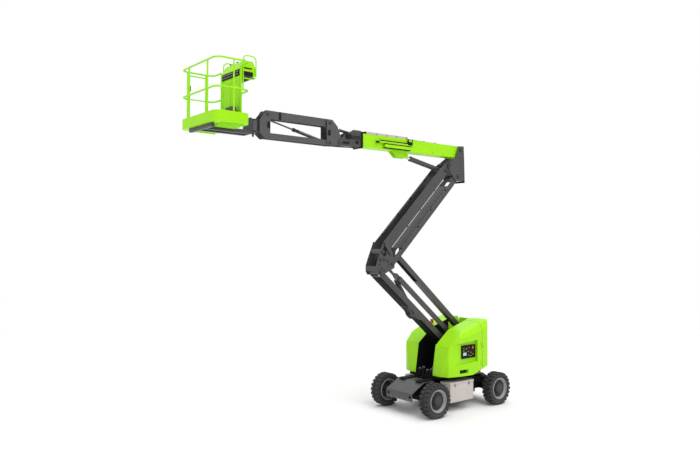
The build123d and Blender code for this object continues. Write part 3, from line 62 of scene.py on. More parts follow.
Span = tuple[float, float]
Point = tuple[float, float, float]
Profile = tuple[Span, ...]
Outline = tuple[Span, ...]
Route = tuple[Point, ...]


# ================================================================ finishes
class Surface(Enum):
    """How a finish breaks up the light on top of its colour.

    Each real pattern is too fine to show on a machine of 7 m, so it is drawn coarser.
    """

    # A sprayed coat ripples every 1 to 2 mm, and is drawn 3 to 9 mm.
    ORANGE_PEEL = "orange peel"
    # Moulded rubber and nylon have a grain of about 0.5 mm, drawn 2 to 4 mm.
    GRAINED = "grained"
    # Sand leaves pits of about 1 mm in a casting, drawn 3 to 5 mm.
    CAST = "cast"
    # Grinding leaves rings about 0.1 mm apart, drawn 0.6 mm.
    TURNED = "turned"


DUST_COLOUR = "9A948A"
# The noise levels between which the worn colour fades in.
PATCH_LEVELS = (0.35, 0.75)
# The shares of a finish's roughness between which it wanders from patch to patch.
GLOSS_SPREAD = (0.88, 1.15)
BUMP_STRENGTH = 0.35
RING_WOBBLE = 0.4
# The distance at which a wave texture repeats at a scale of 1.
WAVE_REPEAT = math.pi / 10


def linear(hex_colour: str) -> tuple[float, float, float, float]:
    """Turn an sRGB hex colour into linear light.

    Args:
        hex_colour: Six hex digits, such as "ABED2E".

    Returns:
        Red, green, blue and an alpha of 1.
    """
    parts = [int(hex_colour[i : i + 2], 16) / 255 for i in (0, 2, 4)]
    light = [c / 12.92 if c <= 0.04045 else ((c + 0.055) / 1.055) ** 2.4 for c in parts]
    return (light[0], light[1], light[2], 1.0)


def add_node(
    tree: bpy.types.NodeTree, kind: str, settings: dict | None = None, links: dict | None = None
) -> bpy.types.Node:
    """Add one node with its settings and links.

    Args:
        tree: The node tree that gets the node.
        kind: The node's type name.
        settings: Property names, input names or input numbers with their values.
        links: Input names or numbers with the output sockets that feed them.

    Returns:
        The new node.
    """
    node = tree.nodes.new(kind)
    for name, value in (settings or {}).items():
        if isinstance(name, int) or name in node.inputs:
            node.inputs[name].default_value = value
        else:
            setattr(node, name, value)
    for name, socket in (links or {}).items():
        tree.links.new(socket, node.inputs[name])
    return node


@dataclass(frozen=True)
class Finish:
    """One real material and the way its surface was made.

    The slot names a material slot of the record and is not used. The sizes in millimetres are
    those of the pattern, its bumps, the worn patches and the rounding that edges show. Dust thins out
    from the ground up to dust_top, in metres.
    """

    name: str
    colour: str
    worn_colour: str
    roughness: float
    slot: str = ""
    metallic: float = 0.0
    ior: float = 1.5
    coat: float = 0.0
    coat_roughness: float = 0.1
    surface: Surface = Surface.ORANGE_PEEL
    grain_mm: float = 6.0
    bump_mm: float = 0.1
    patch_mm: float = 400.0
    edge_mm: float = 3.0
    dust: float = 0.0
    dust_top: float = 0.35

    def material(self) -> bpy.types.Material:
        """Return the finish as a material, made once and shared after that."""
        made = bpy.data.materials.get(self.name)
        if made is None:
            made = bpy.data.materials.new(self.name)
            made.use_nodes = True
            self._fill(made.node_tree)
        return made

    def _grain(self, tree: bpy.types.NodeTree, place: bpy.types.NodeSocket) -> bpy.types.NodeSocket:
        """Lay out the height pattern of the surface.

        Args:
            tree: The material's node tree.
            place: The point on the object, in metres.

        Returns:
            The socket that gives the height.
        """
        if self.surface is Surface.TURNED:
            scale = WAVE_REPEAT / (self.grain_mm * MM)
            rings = {"wave_type": "BANDS", "Scale": scale, "Distortion": RING_WOBBLE}
            return add_node(tree, "ShaderNodeTexWave", rings, {"Vector": place}).outputs["Fac"]
        rough = self.surface is Surface.CAST
        settings = {
            "Scale": 1 / (self.grain_mm * MM),
            "Detail": 6.0 if rough else 2.0,
            "Roughness": 0.7 if rough else 0.5,
        }
        return add_node(tree, "ShaderNodeTexNoise", settings, {"Vector": place}).outputs["Fac"]

    def _colour(
        self, tree: bpy.types.NodeTree, place: bpy.types.NodeSocket
    ) -> tuple[bpy.types.NodeSocket, bpy.types.NodeSocket]:
        """Lay out the colour with its slow patches and the dust near the ground.

        Args:
            tree: The material's node tree.
            place: The point on the object, in metres.

        Returns:
            The sockets that give the colour and the patches.
        """
        settings = {"Scale": 1 / (self.patch_mm * MM), "Detail": 4.0, "Roughness": 0.6}
        patches = add_node(tree, "ShaderNodeTexNoise", settings, {"Vector": place}).outputs["Fac"]
        levels = {"From Min": PATCH_LEVELS[0], "From Max": PATCH_LEVELS[1]}
        spread = add_node(tree, "ShaderNodeMapRange", levels, {"Value": patches})
        colour = add_node(
            tree,
            "ShaderNodeMix",
            {"data_type": "RGBA", 6: linear(self.colour), 7: linear(self.worn_colour)},
            {0: spread.outputs["Result"]},
        ).outputs[2]
        if self.dust:
            height = add_node(tree, "ShaderNodeSeparateXYZ", {}, {"Vector": place}).outputs["Z"]
            fade = add_node(
                tree,
                "ShaderNodeMapRange",
                {"From Min": 0.0, "From Max": self.dust_top, "To Min": self.dust, "To Max": 0.0},
                {"Value": height},
            )
            amount = add_node(
                tree, "ShaderNodeMath", {"operation": "MULTIPLY"}, {0: fade.outputs["Result"], 1: patches}
            )
            colour = add_node(
                tree,
                "ShaderNodeMix",
                {"data_type": "RGBA", 7: linear(DUST_COLOUR)},
                {0: amount.outputs[0], 6: colour},
            ).outputs[2]
        return colour, patches

    def _fill(self, tree: bpy.types.NodeTree) -> None:
        """Lay out the shader.

        Args:
            tree: The material's node tree.
        """
        tree.nodes.clear()
        place = add_node(tree, "ShaderNodeTexCoord").outputs["Object"]
        colour, patches = self._colour(tree, place)
        gloss = add_node(
            tree,
            "ShaderNodeMapRange",
            {
                "To Min": self.roughness * GLOSS_SPREAD[0],
                "To Max": min(1.0, self.roughness * GLOSS_SPREAD[1]),
            },
            {"Value": patches},
        )
        shader = add_node(
            tree,
            "ShaderNodeBsdfPrincipled",
            {
                "Metallic": self.metallic,
                "IOR": self.ior,
                "Coat Weight": self.coat,
                "Coat Roughness": self.coat_roughness,
            },
            {"Base Color": colour, "Roughness": gloss.outputs["Result"]},
        )
        rounded = add_node(tree, "ShaderNodeBevel", {"samples": 4, "Radius": self.edge_mm * MM})
        bump = add_node(
            tree,
            "ShaderNodeBump",
            {"Strength": BUMP_STRENGTH, "Distance": self.bump_mm * MM},
            {"Height": self._grain(tree, place), "Normal": rounded.outputs["Normal"]},
        )
        tree.links.new(bump.outputs["Normal"], shader.inputs["Normal"])
        add_node(tree, "ShaderNodeOutputMaterial", {}, {"Surface": shader.outputs["BSDF"]})


# Powder-coated steel sheet and tube: an even lime with a soft gloss and a faint orange peel.
LIME_POWDER_COAT = Finish(
    "lime_powder_coated_steel", "9FE400", "98DE00", 0.42, "lime_paint",
    ior=1.33, grain_mm=5.0, bump_mm=0.04, edge_mm=2.0,
)
# Moulded glass-fibre hood skins: the same lime, glossier, with broad soft edges.
LIME_GEL_COAT = Finish(
    "lime_gel_coated_fibreglass", "9CE000", "96DA00", 0.36, ior=1.36, grain_mm=9.0, bump_mm=0.04, edge_mm=9.0
)
# Powder-coated structural steel: a neutral dark grey that picks up pale edges.
GREY_POWDER_COAT = Finish(
    "dark_grey_powder_coated_steel", "3D3D3D", "383838", 0.42, "dark_grey_paint", grain_mm=5.0, bump_mm=0.04
)
# The jib's own batch of that powder coat, a shade lighter.
JIB_POWDER_COAT = Finish(
    "mid_grey_powder_coated_steel", "4A4A4A", "454545", 0.42, grain_mm=5.0, bump_mm=0.04
)
# The same dark grey on the sheet covers over the axles: broad soft folds, and dusty near the ground.
GREY_COVER_PAINT = Finish(
    "mid_grey_powder_coated_sheet", "3F3F40", "3A3A3B", 0.42,
    grain_mm=5.0, edge_mm=10.0, dust=0.35, dust_top=0.5,
)
# Wet-painted steel inside the machine: nearly black and dull.
BLACK_PAINT = Finish("black_painted_steel", "121313", "0E0F0F", 0.6, "black_paint", ior=1.2, grain_mm=4.0)
# Injection-moulded polyamide: black with a fine leather-like grain.
BLACK_NYLON = Finish(
    "black_moulded_nylon", "131414", "191A1A", 0.6, "black_paint",
    ior=1.25, surface=Surface.GRAINED, grain_mm=2.5,
)
# Extruded rubber hose: black, softly shining along its length.
HOSE_RUBBER = Finish(
    "black_hose_rubber", "121213", "18181A", 0.45, "dark_plastic", surface=Surface.GRAINED, grain_mm=3.0
)
# Vulcanised tyre rubber: dark, matt and slightly dusty near the ground.
TYRE_RUBBER = Finish(
    "vulcanised_tyre_rubber", "2B2B2B", "232323", 0.8, "tyre_rubber",
    surface=Surface.GRAINED, grain_mm=4.0, bump_mm=0.3, edge_mm=4.0, dust=0.2, dust_top=0.2,
)
# Pressed-steel wheel rims in aluminium paint: silver with a satin look.
SILVER_PAINT = Finish(
    "aluminium_painted_steel", "9C9D9E", "8F9092", 0.4, "silver_rim", metallic=0.2, grain_mm=4.0
)
# Cast hubs and wheel discs in dark grey paint, a little rough from the mould.
HUB_PAINT = Finish(
    "dark_grey_painted_casting", "323334", "2A2B2C", 0.6, "dark_grey_paint",
    surface=Surface.CAST, grain_mm=5.0, bump_mm=0.3,
)
# Hard-chromed rods, ground and polished: bright, with fine rings round them.
HARD_CHROME = Finish(
    "ground_hard_chrome", "E6E7E8", "D6D8DA", 0.26, metallic=0.85, surface=Surface.TURNED, grain_mm=0.6283
)
# Nitrided steel of the jib cylinder's rod and of the clamped pipes: dark grey with a satin sheen.
NITRIDED_STEEL = Finish(
    "nitrided_steel_rod", "5A5B5C", "525354", 0.35, "silver_rim",
    metallic=0.4, surface=Surface.TURNED, grain_mm=0.6283,
)
# Warm pale stoving enamel on folded sheet boxes.
PALE_ENAMEL = Finish(
    "warm_white_stoved_enamel", "C4BBB6", "BDB4AF", 0.45, "pale_moulded_plastic",
    grain_mm=5.0, edge_mm=5.0, dust=0.3, dust_top=0.45,
)
# Zinc-plated steel bolts, fittings and clips: pale, with a soft metal gloss.
ZINC_PLATE = Finish("zinc_plated_steel", "9A9C9E", "888A8C", 0.36, "silver_rim", metallic=0.8, grain_mm=3.0)
# Cast iron engine and ballast under thin dark paint: dull and pitted.
CAST_IRON = Finish(
    "painted_cast_iron", "2A2B2C", "222324", 0.6, surface=Surface.CAST, grain_mm=3.0, bump_mm=0.4
)
# Moulded polycarbonate lens and push buttons: clear strong red with a gloss.
RED_LENS = Finish(
    "red_moulded_polycarbonate", "D61A12", "C41610", 0.2, "red_plastic", coat=0.6, grain_mm=8.0
)
# Toughened glass over a pale screen: smooth and mirror-like. Its slow waves are drawn 20 mm across.
SCREEN_GLASS = Finish(
    "pale_display_glass", "A9C6D8", "9DBACC", 0.12, "pale_moulded_plastic", coat=0.8, grain_mm=20.0
)
# Moulded yellow polyamide switch caps: a clear warm yellow with a fine grain.
YELLOW_NYLON = Finish(
    "yellow_moulded_nylon", "E3D21C", "D8C718", 0.4, "silver_rim", surface=Surface.GRAINED, grain_mm=2.0
)

# The solids of each finish. Tyres, rims and cylinder rods go by their names, and the rest are grey.
FINISHED_NODES: dict[Finish, tuple[str, ...]] = {
    LIME_GEL_COAT: ("left_hood", "right_hood", "counterweight", "platform_controls"),
    LIME_POWDER_COAT: (
        "boom", "platform_rails", "platform_gate", "platform_floor", "platform_back_panel", "control_guards"
    ),
    PALE_ENAMEL: ("left_side_box", "right_side_box", "left_side_box_lid", "right_side_box_lid"),
    GREY_COVER_PAINT: ("front_axle_cover", "rear_axle_cover"),
    BLACK_PAINT: ("turntable", "chassis_frame", "power_pack"),
    CAST_IRON: ("engine",),
    RED_LENS: ("beacon",),
    HARD_CHROME: ("steering_rod",),
    GREY_POWDER_COAT: ("foot_switch",),
    NITRIDED_STEEL: ("jib_cylinder_rod",),
    JIB_POWDER_COAT: ("jib_base", "jib_head", "jib_upper_arm", "jib_lower_arm"),
}
FINISHED_ENDINGS = {"_tyre": TYRE_RUBBER, "_rim": SILVER_PAINT, "_cylinder_rod": HARD_CHROME}


# ================================================================ shapes
# Faces that meet at more than this keep a sharp edge between them.
SHARP_ANGLE_DEG = 34.0
# An axis with a larger vertical share than this counts as upright.
UPRIGHT_SHARE = 0.9
# The most of a block's thinnest side that one softened edge may take.
SOFT_SHARE = 0.45
# Radius and height of a bolt's washer and head, in thread diameters.
WASHER = ((1.05, -0.2), (1.05, 0.18))
BOLT_HEAD = ((0.9, 0.15), (0.9, 0.7), (0.72, 0.82))
# Radius of a pin's end cap in shares of its whole radius, and height in metres.
PIN_CAP = ((1.0, -0.002), (1.0, 0.006), (0.8, 0.009), (0.0, 0.009))
# A keeper bolt's height above the plate's face, and its thread in shares of the cap's radius.
KEEPER_FOOT = 0.008
KEEPER_SHARE = 0.38


class Box(NamedTuple):
    """A block between two corners, with the width of its softened edges in millimetres."""

    low: Point
    high: Point
    soft_mm: float = 3.0

    def on_side(self, out: float) -> Box:
        """Return the block as it is for 1, and its mirror image on the other side for -1."""
        low_y, high_y = sorted((self.low[1] * out, self.high[1] * out))
        return Box((self.low[0], low_y, self.low[2]), (self.high[0], high_y, self.high[2]), self.soft_mm)


def on_both_sides(*boxes: Box) -> list[Box]:
    """Return blocks together with their mirror images on the other side of the machine."""
    return [box.on_side(out) for box in boxes for out in (-1.0, 1.0)]


def both_spans(near: float, far: float) -> list[Span]:
    """Return the span from near to far on the right of the middle plane, and then on its left."""
    return [(-far, -near), (near, far)]


def turned_basis(axis: Vector) -> Matrix:
    """Return a rotation whose Z column lies along an axis.

    Args:
        axis: The direction that Z takes.

    Returns:
        The rotation as a 3 x 3 matrix.
    """
    z = axis.normalized()
    x = (Y_AXIS if abs(z.z) > UPRIGHT_SHARE else Z_AXIS).cross(z).normalized()
    return Matrix((x, z.cross(x), z)).transposed()


@dataclass
class Piece:
    """One detailed piece under construction, from joined shapes with one finish.

    Its own slot is stored but not used.
    """

    name: str
    body: str
    finish: Finish
    own_slot: str = ""
    work: bmesh.types.BMesh = field(default_factory=bmesh.new)

    def block(
        self, low: Point | Vector, high: Point | Vector, soft_mm: float = 3.0, turn: Matrix | None = None
    ) -> None:
        """Add a block with softened edges.

        Args:
            low: Its lowest corner.
            high: Its highest corner.
            soft_mm: The width of its softened edges.
            turn: A rotation about the block's middle.
        """
        low_corner, high_corner = Vector(low), Vector(high)
        size = high_corner - low_corner
        place = Matrix.Translation((low_corner + high_corner) / 2)
        if turn is not None:
            place = place @ turn.to_4x4()
        scale = Matrix.Diagonal((size.x, size.y, size.z, 1.0))
        made = bmesh.ops.create_cube(self.work, size=1.0, matrix=place @ scale)
        edges = {edge for vert in made["verts"] for edge in vert.link_edges}
        bmesh.ops.bevel(
            self.work,
            geom=list(edges),
            offset=min(soft_mm * MM, min(size) * SOFT_SHARE),
            segments=2,
            profile=0.6,
            affect="EDGES",
            clamp_overlap=True,
        )

    def blocks(self, *boxes: Box) -> Piece:
        """Add blocks with softened edges.

        Args:
            boxes: The blocks.

        Returns:
            The piece itself.
        """
        for box in boxes:
            self.block(*box)
        return self

    def lathe(
        self,
        at: Point | Vector,
        axis: Vector,
        profile: Iterable[Span],
        sides: int = 24,
        hollow: bool = False,
    ) -> None:
        """Add a turned shape.

        Args:
            at: The point that the profile's distances start from.
            axis: The direction of the turning axis.
            profile: Pairs of (radius, distance along the axis).
            sides: How many flats make the circle.
            hollow: Whether the profile closes on itself and leaves the middle open.
        """
        basis, start = turned_basis(axis), Vector(at)
        angles = [2 * math.pi * step / sides for step in range(sides)]
        rings = []
        for radius, along in profile:
            spots = [Vector((radius * math.cos(a), radius * math.sin(a), along)) for a in angles]
            if radius <= 0.0:
                spots = [Vector((0.0, 0.0, along))]
            rings.append([self.work.verts.new(start + basis @ spot) for spot in spots])
        for low, high in zip(rings, rings[1:]):
            self._join(low, high)
        if hollow:
            self._join(rings[-1], rings[0])
            return
        for ring, flip in ((rings[0], True), (rings[-1], False)):
            if len(ring) > 1:
                self.work.faces.new(list(reversed(ring)) if flip else ring)

    def lathes(self, spots: Iterable[Point], axis: Vector, profile: Iterable[Span], sides: int) -> Piece:
        """Add the same turned shape at several points.

        Args:
            spots: The points.
            axis: The direction of the turning axes.
            profile: Pairs of (radius, distance along the axis).
            sides: How many flats make the circle.

        Returns:
            The piece itself.
        """
        for at in spots:
            self.lathe(at, axis, profile, sides)
        return self

    def _join(self, low: list, high: list) -> None:
        """Fill the band between two rings of points, one of which may be a single point.

        Args:
            low: The first ring.
            high: The second ring.
        """
        count = max(len(low), len(high))
        for step in range(count):
            after = (step + 1) % count
            if len(low) == 1:
                self.work.faces.new((low[0], high[after], high[step]))
            elif len(high) == 1:
                self.work.faces.new((low[step], low[after], high[0]))
            else:
                self.work.faces.new((low[step], low[after], high[after], high[step]))

    def tube(
        self, points: Iterable[Point | Vector], radius_mm: float, sides: int = 10, smooth: int = 6
    ) -> None:
        """Add a round tube along a smooth line through some points.

        Args:
            points: The points that it passes.
            radius_mm: Its radius.
            sides: How many flats make the circle.
            smooth: How many steps lie between two points.
        """
        line = smooth_line([Vector(point) for point in points], smooth)
        side = turned_basis(line[1] - line[0]).col[0]
        rings = []
        for index, spot in enumerate(line):
            ahead = line[min(index + 1, len(line) - 1)] - line[max(index - 1, 0)]
            ahead.normalize()
            side = (side - ahead * side.dot(ahead)).normalized()
            over = ahead.cross(side)
            ring = []
            for step in range(sides):
                angle = 2 * math.pi * step / sides
                out = side * math.cos(angle) + over * math.sin(angle)
                ring.append(self.work.verts.new(spot + out * radius_mm * MM))
            rings.append(ring)
        for low, high in zip(rings, rings[1:]):
            self._join(low, high)
        self.work.faces.new(list(reversed(rings[0])))
        self.work.faces.new(rings[-1])

    def tubes(self, route: Route, shift: Point, count: int, radius_mm: float) -> None:
        """Add round tubes side by side.

        Args:
            route: The points that the first one passes.
            shift: The way from each tube to the next.
            count: How many there are.
            radius_mm: Their radius.
        """
        for step in range(count):
            self.tube([Vector(point) + Vector(shift) * step for point in route], radius_mm)

    def bolt(self, at: Point | Vector, axis: Vector, size_mm: float) -> None:
        """Add a hexagon bolt head on its washer.

        Args:
            at: The point where it meets the surface.
            axis: The direction that the head points.
            size_mm: The thread's diameter.
        """
        size = size_mm * MM
        for profile, sides in ((WASHER, 16), (BOLT_HEAD, 6)):
            self.lathe(at, axis, [(radius * size, height * size) for radius, height in profile], sides)

    def bolts(self, spots: Iterable[Point], axis: Vector, size_mm: float) -> Piece:
        """Add hexagon bolt heads of one size.

        Args:
            spots: The points where they meet the surface.
            axis: The direction that the heads point.
            size_mm: The threads' diameter.

        Returns:
            The piece itself.
        """
        for at in spots:
            self.bolt(at, axis, size_mm)
        return self

    def sheet(
        self, outline: Outline, low: float, high: float, across: Vector, at: Vector, along: Vector
    ) -> None:
        """Add a flat plate with a many-sided outline.

        Args:
            outline: Pairs of (along, up) in the plate's own plane.
            low: The near face's distance across.
            high: The far face's distance across.
            across: The direction square to the plate.
            at: The point that the outline is measured from.
            along: The direction of the outline's first number.
        """
        up = across.cross(along) * -1.0
        rings = []
        for depth in (low, high):
            rings.append([self.work.verts.new(at + along * u + up * v + across * depth) for u, v in outline])
        self._join(rings[0], rings[1])
        self.work.faces.new(list(reversed(rings[0])))
        self.work.faces.new(rings[1])

    def finish_up(self, *replaced: str) -> bpy.types.Object:
        """Turn the shapes into one object that rides on its body.

        Args:
            replaced: The names of the solids that it stands for.

        Returns:
            The new object.
        """
        bmesh.ops.recalc_face_normals(self.work, faces=self.work.faces)
        mesh = bpy.data.meshes.new(self.name)
        self.work.to_mesh(mesh)
        self.work.free()
        mesh.shade_smooth()
        mesh.set_sharp_from_angle(angle=math.radians(SHARP_ANGLE_DEG))
        mesh.materials.append(self.finish.material())
        made = bpy.data.objects.new(self.name, mesh)
        bpy.context.scene.collection.objects.link(made)
        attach(made, self.body)
        if replaced:
            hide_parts(*replaced)
        LOG.info("made %s with %d faces on %s", self.name, len(mesh.polygons), self.body)
        return made


def smooth_line(points: list[Vector], steps: int) -> list[Vector]:
    """Return a smooth line through some points.

    Args:
        points: The points, in order.
        steps: How many steps lie between two of them.

    Returns:
        The points of the line.
    """
    if len(points) == 2:
        return points
    line = [points[0]]
    for index in range(len(points) - 1):
        before = points[max(index - 1, 0)]
        start, end = points[index], points[index + 1]
        after = points[min(index + 2, len(points) - 1)]
        # Handles of a sixth of the chord across each point let the line pass it smoothly.
        leave = start + (end - before) / 6
        arrive = end - (after - start) / 6
        line.extend(interpolate_bezier(start, leave, arrive, end, steps + 1)[1:])
    return line


def joint_place(name: str) -> Vector:
    """Return the point that a joint turns about.

    Args:
        name: The joint's name.

    Returns:
        The point at rest.
    """
    joints = frame["record"]["behaviour"]["joints"]
    return Vector(next(joint["pos_m"] for joint in joints if joint["name"] == name))


@dataclass(frozen=True)
class Strut:
    """A straight arm in the machine's middle plane, with its own directions."""

    start: Vector
    end: Vector

    @property
    def along(self) -> Vector:
        """The direction from the arm's foot to its top."""
        return (self.end - self.start).normalized()

    @property
    def across(self) -> Vector:
        """The direction square to the arm in the middle plane, a quarter turn on from along."""
        along = self.along
        return Vector((-along.z, 0.0, along.x))

    @property
    def length(self) -> float:
        """The distance between the arm's two pins."""
        return (self.end - self.start).length

    def at(self, along: float, side: float = 0.0, across: float = 0.0) -> Vector:
        """Return a point on the arm from its distances along, to the left and across."""
        return self.start + self.along * along + Y_AXIS * side + self.across * across

    def basis(self) -> Matrix:
        """Return the rotation that lays X along the arm and Z across it."""
        return Matrix((self.along, Y_AXIS, self.across)).transposed()

    def block(self, piece: Piece, along: Span, side: Span, across: Span, soft_mm: float = 3.0) -> None:
        """Add a block that lies along the arm.

        Args:
            piece: The piece that gets it.
            along: Its two limits along the arm.
            side: Its two limits to the left.
            across: Its two limits across the arm.
            soft_mm: The width of its softened edges.
        """
        middle = self.at(sum(along) / 2, sum(side) / 2, sum(across) / 2)
        half = Vector((along[1] - along[0], side[1] - side[0], across[1] - across[0])) / 2
        piece.block(middle - half, middle + half, soft_mm, self.basis())


def close_pins(body: str, places: list[Vector], half_width: float, radius: float) -> None:
    """Make the end caps of a body's pins, each with its keeper bolt, on both sides.

    Args:
        body: The body that they ride on.
        places: The pins' middles.
        half_width: The distance from a middle to the outer face.
        radius: The caps' radius.
    """
    caps = Piece(f"{body}_pin_caps", body, HUB_PAINT)
    for at in places:
        for side in (1.0, -1.0):
            face, outward = Vector((at.x, side * half_width, at.z)), Y_AXIS * side
            caps.lathe(face, outward, [(radius * share, height) for share, height in PIN_CAP])
            caps.bolt(face + outward * KEEPER_FOOT, outward, radius * KEEPER_SHARE / MM)
    caps.finish_up()


# ================================================================ pieces
@dataclass
class BoomFittings:
    """The pale cable channel, the side tray, the mouth's collar and the hoses along the boom."""

    # The cable channel's three pairs of limits, its lids, and the moulded clips and ends that hold them.
    channel_x: Span = (-1.19, -0.0445)
    channel_y: Span = (0.021, 0.089)
    channel_z: Span = (5.886, 5.944)
    channel_below_lids: float = 0.004
    lids: int = 4
    lid_gap: float = 0.004
    lid_lap: float = 0.001
    lid_depth: float = 0.006
    clip_foot_z: float = 5.884
    clip_lap: float = 0.004
    clip_half: float = 0.006
    clip_below_lids: float = 0.002
    end_length: float = 0.025
    # The tray's floor, lip and two ends, the closed box below it, and the bracket above its rear end.
    tray: tuple[Box, ...] = (
        Box((-1.280, 0.126, 5.736), (-0.350, 0.165, 5.742), 2.0),
        Box((-1.280, 0.160, 5.736), (-0.350, 0.165, 5.776), 2.0),
        Box((-1.280, 0.126, 5.736), (-1.274, 0.165, 5.791), 2.0),
        Box((-0.356, 0.126, 5.736), (-0.350, 0.165, 5.791), 2.0),
        Box((-1.230, 0.1485, 5.651), (-0.490, 0.186, 5.714), 6.0),
        Box((-1.260, 0.1485, 5.829), (-1.180, 0.184, 5.869), 8.0),
    )
    # The bar that lies in the tray; a black strip above and one below the box, painted shadow under the tray
    # and under the box; and the clips at both ends.
    tray_bars_and_shadow_strips: tuple[Box, ...] = (
        Box((-1.260, 0.130, 5.772), (-0.380, 0.158, 5.799), 5.0),
        Box((-1.250, 0.1485, 5.718), (-0.470, 0.178, 5.732), 4.0),
        Box((-1.230, 0.1485, 5.632), (-0.450, 0.180, 5.648), 4.0),
        Box((-1.300, 0.1485, 5.756), (-1.160, 0.176, 5.881), 16.0),
        Box((-0.330, 0.1485, 5.726), (-0.250, 0.176, 5.766), 8.0),
    )
    tray_screws: tuple[Point, ...] = tuple((-1.22 + 0.16 * step, 0.164, 5.754) for step in range(6))
    tray_screw_mm: float = 5.0
    # The collar's lower and upper bars and its two cheeks, and the small box behind it.
    collar: tuple[Box, ...] = (
        Box((0.094, -0.150, 5.583), (0.120, 0.150, 5.612)),
        Box((0.094, -0.150, 5.880), (0.120, 0.150, 5.890)),
        Box((0.094, -0.151, 5.600), (0.120, -0.130, 5.886)),
        Box((0.094, 0.130, 5.600), (0.120, 0.151, 5.886)),
        Box((0.040, -0.030, 5.884), (0.100, 0.120, 5.925), 8.0),
    )
    side_pad_screws: tuple[Point, ...] = ((-2.30, 0.148, 5.67), (-1.95, 0.148, 5.67))
    top_pad_screws: tuple[Point, ...] = tuple(
        (x, y, 5.885) for x in (-0.30, -0.22, -0.10, -0.02) for y in (-0.07, 0.12)
    )
    pad_screw_mm: float = 9.0
    hose_route: Route = (
        (-1.21, 0.034, 5.905), (-1.40, 0.024, 5.899), (-1.8, 0.014, 5.897), (-2.20, 0.004, 5.896)
    )
    hose_shift: Point = (0.0, 0.020, 0.0)
    hoses: int = 3
    hose_radius_mm: float = 8.0
    hose_clips: tuple[Box, ...] = tuple(
        Box((x, -0.02, 5.884), (x + 0.022, 0.095, 5.909), 2.0) for x in (-1.4, -1.75, -2.1)
    )

    def build(self) -> None:
        """Make every fitting of the boom."""
        self._channel()
        Piece("boom_side_tray", "boom", LIME_POWDER_COAT).blocks(*self.tray).finish_up()
        # Two of these black bars are painted shadow, one under the tray and one under the box.
        Piece("boom_side_bars_and_painted_shadow", "boom", BLACK_NYLON).blocks(*self.tray_bars_and_shadow_strips).finish_up()
        screws = Piece("boom_tray_screws", "boom", ZINC_PLATE)
        screws.bolts(self.tray_screws, Y_AXIS, self.tray_screw_mm).finish_up()
        Piece("boom_mouth_collar", "boom", BLACK_NYLON).blocks(*self.collar).finish_up()
        screws = Piece("boom_pad_screws", "boom", ZINC_PLATE)
        screws.bolts(self.side_pad_screws, Y_AXIS, self.pad_screw_mm)
        screws.bolts(self.top_pad_screws, Z_AXIS, self.pad_screw_mm)
        screws.finish_up()
        hoses = Piece("boom_hoses", "boom", HOSE_RUBBER)
        hoses.tubes(self.hose_route, self.hose_shift, self.hoses, self.hose_radius_mm)
        hoses.finish_up()
        Piece("boom_hose_clips", "boom", ZINC_PLATE).blocks(*self.hose_clips).finish_up()

    def _channel(self) -> None:
        """Make the folded channel on the boom's back, with its lids, moulded ends and clips."""
        (x0, x1), (y0, y1), (z0, z1) = self.channel_x, self.channel_y, self.channel_z
        long = (x1 - x0) / self.lids
        pale = Piece("boom_top_channel", "boom", PALE_ENAMEL)
        pale.block((x0, y0, z0), (x1, y1, z1 - self.channel_below_lids), soft_mm=4.0)
        for step in range(self.lids):
            x = x0 + long * step
            low = (x + self.lid_gap, y0 - self.lid_lap, z1 - self.lid_depth)
            pale.block(low, (x + long - self.lid_gap, y1 + self.lid_lap, z1), soft_mm=3.0)
        pale.finish_up("boom_cable_guides")
        dark = Piece("boom_channel_ends", "boom", BLACK_NYLON)
        out0, out1, foot = y0 - self.clip_lap, y1 + self.clip_lap, self.clip_foot_z
        dark.block((x0 - self.end_length, out0, foot), (x0, out1, z1), soft_mm=6.0)
        dark.block((x1, out0, foot), (x1 + self.end_length, out1, z1), soft_mm=6.0)
        for step in range(1, self.lids):
            x = x0 + long * step
            low = (x - self.clip_half, out0, foot)
            dark.block(low, (x + self.clip_half, out1, z1 - self.clip_below_lids), soft_mm=2.0)
        dark.finish_up()


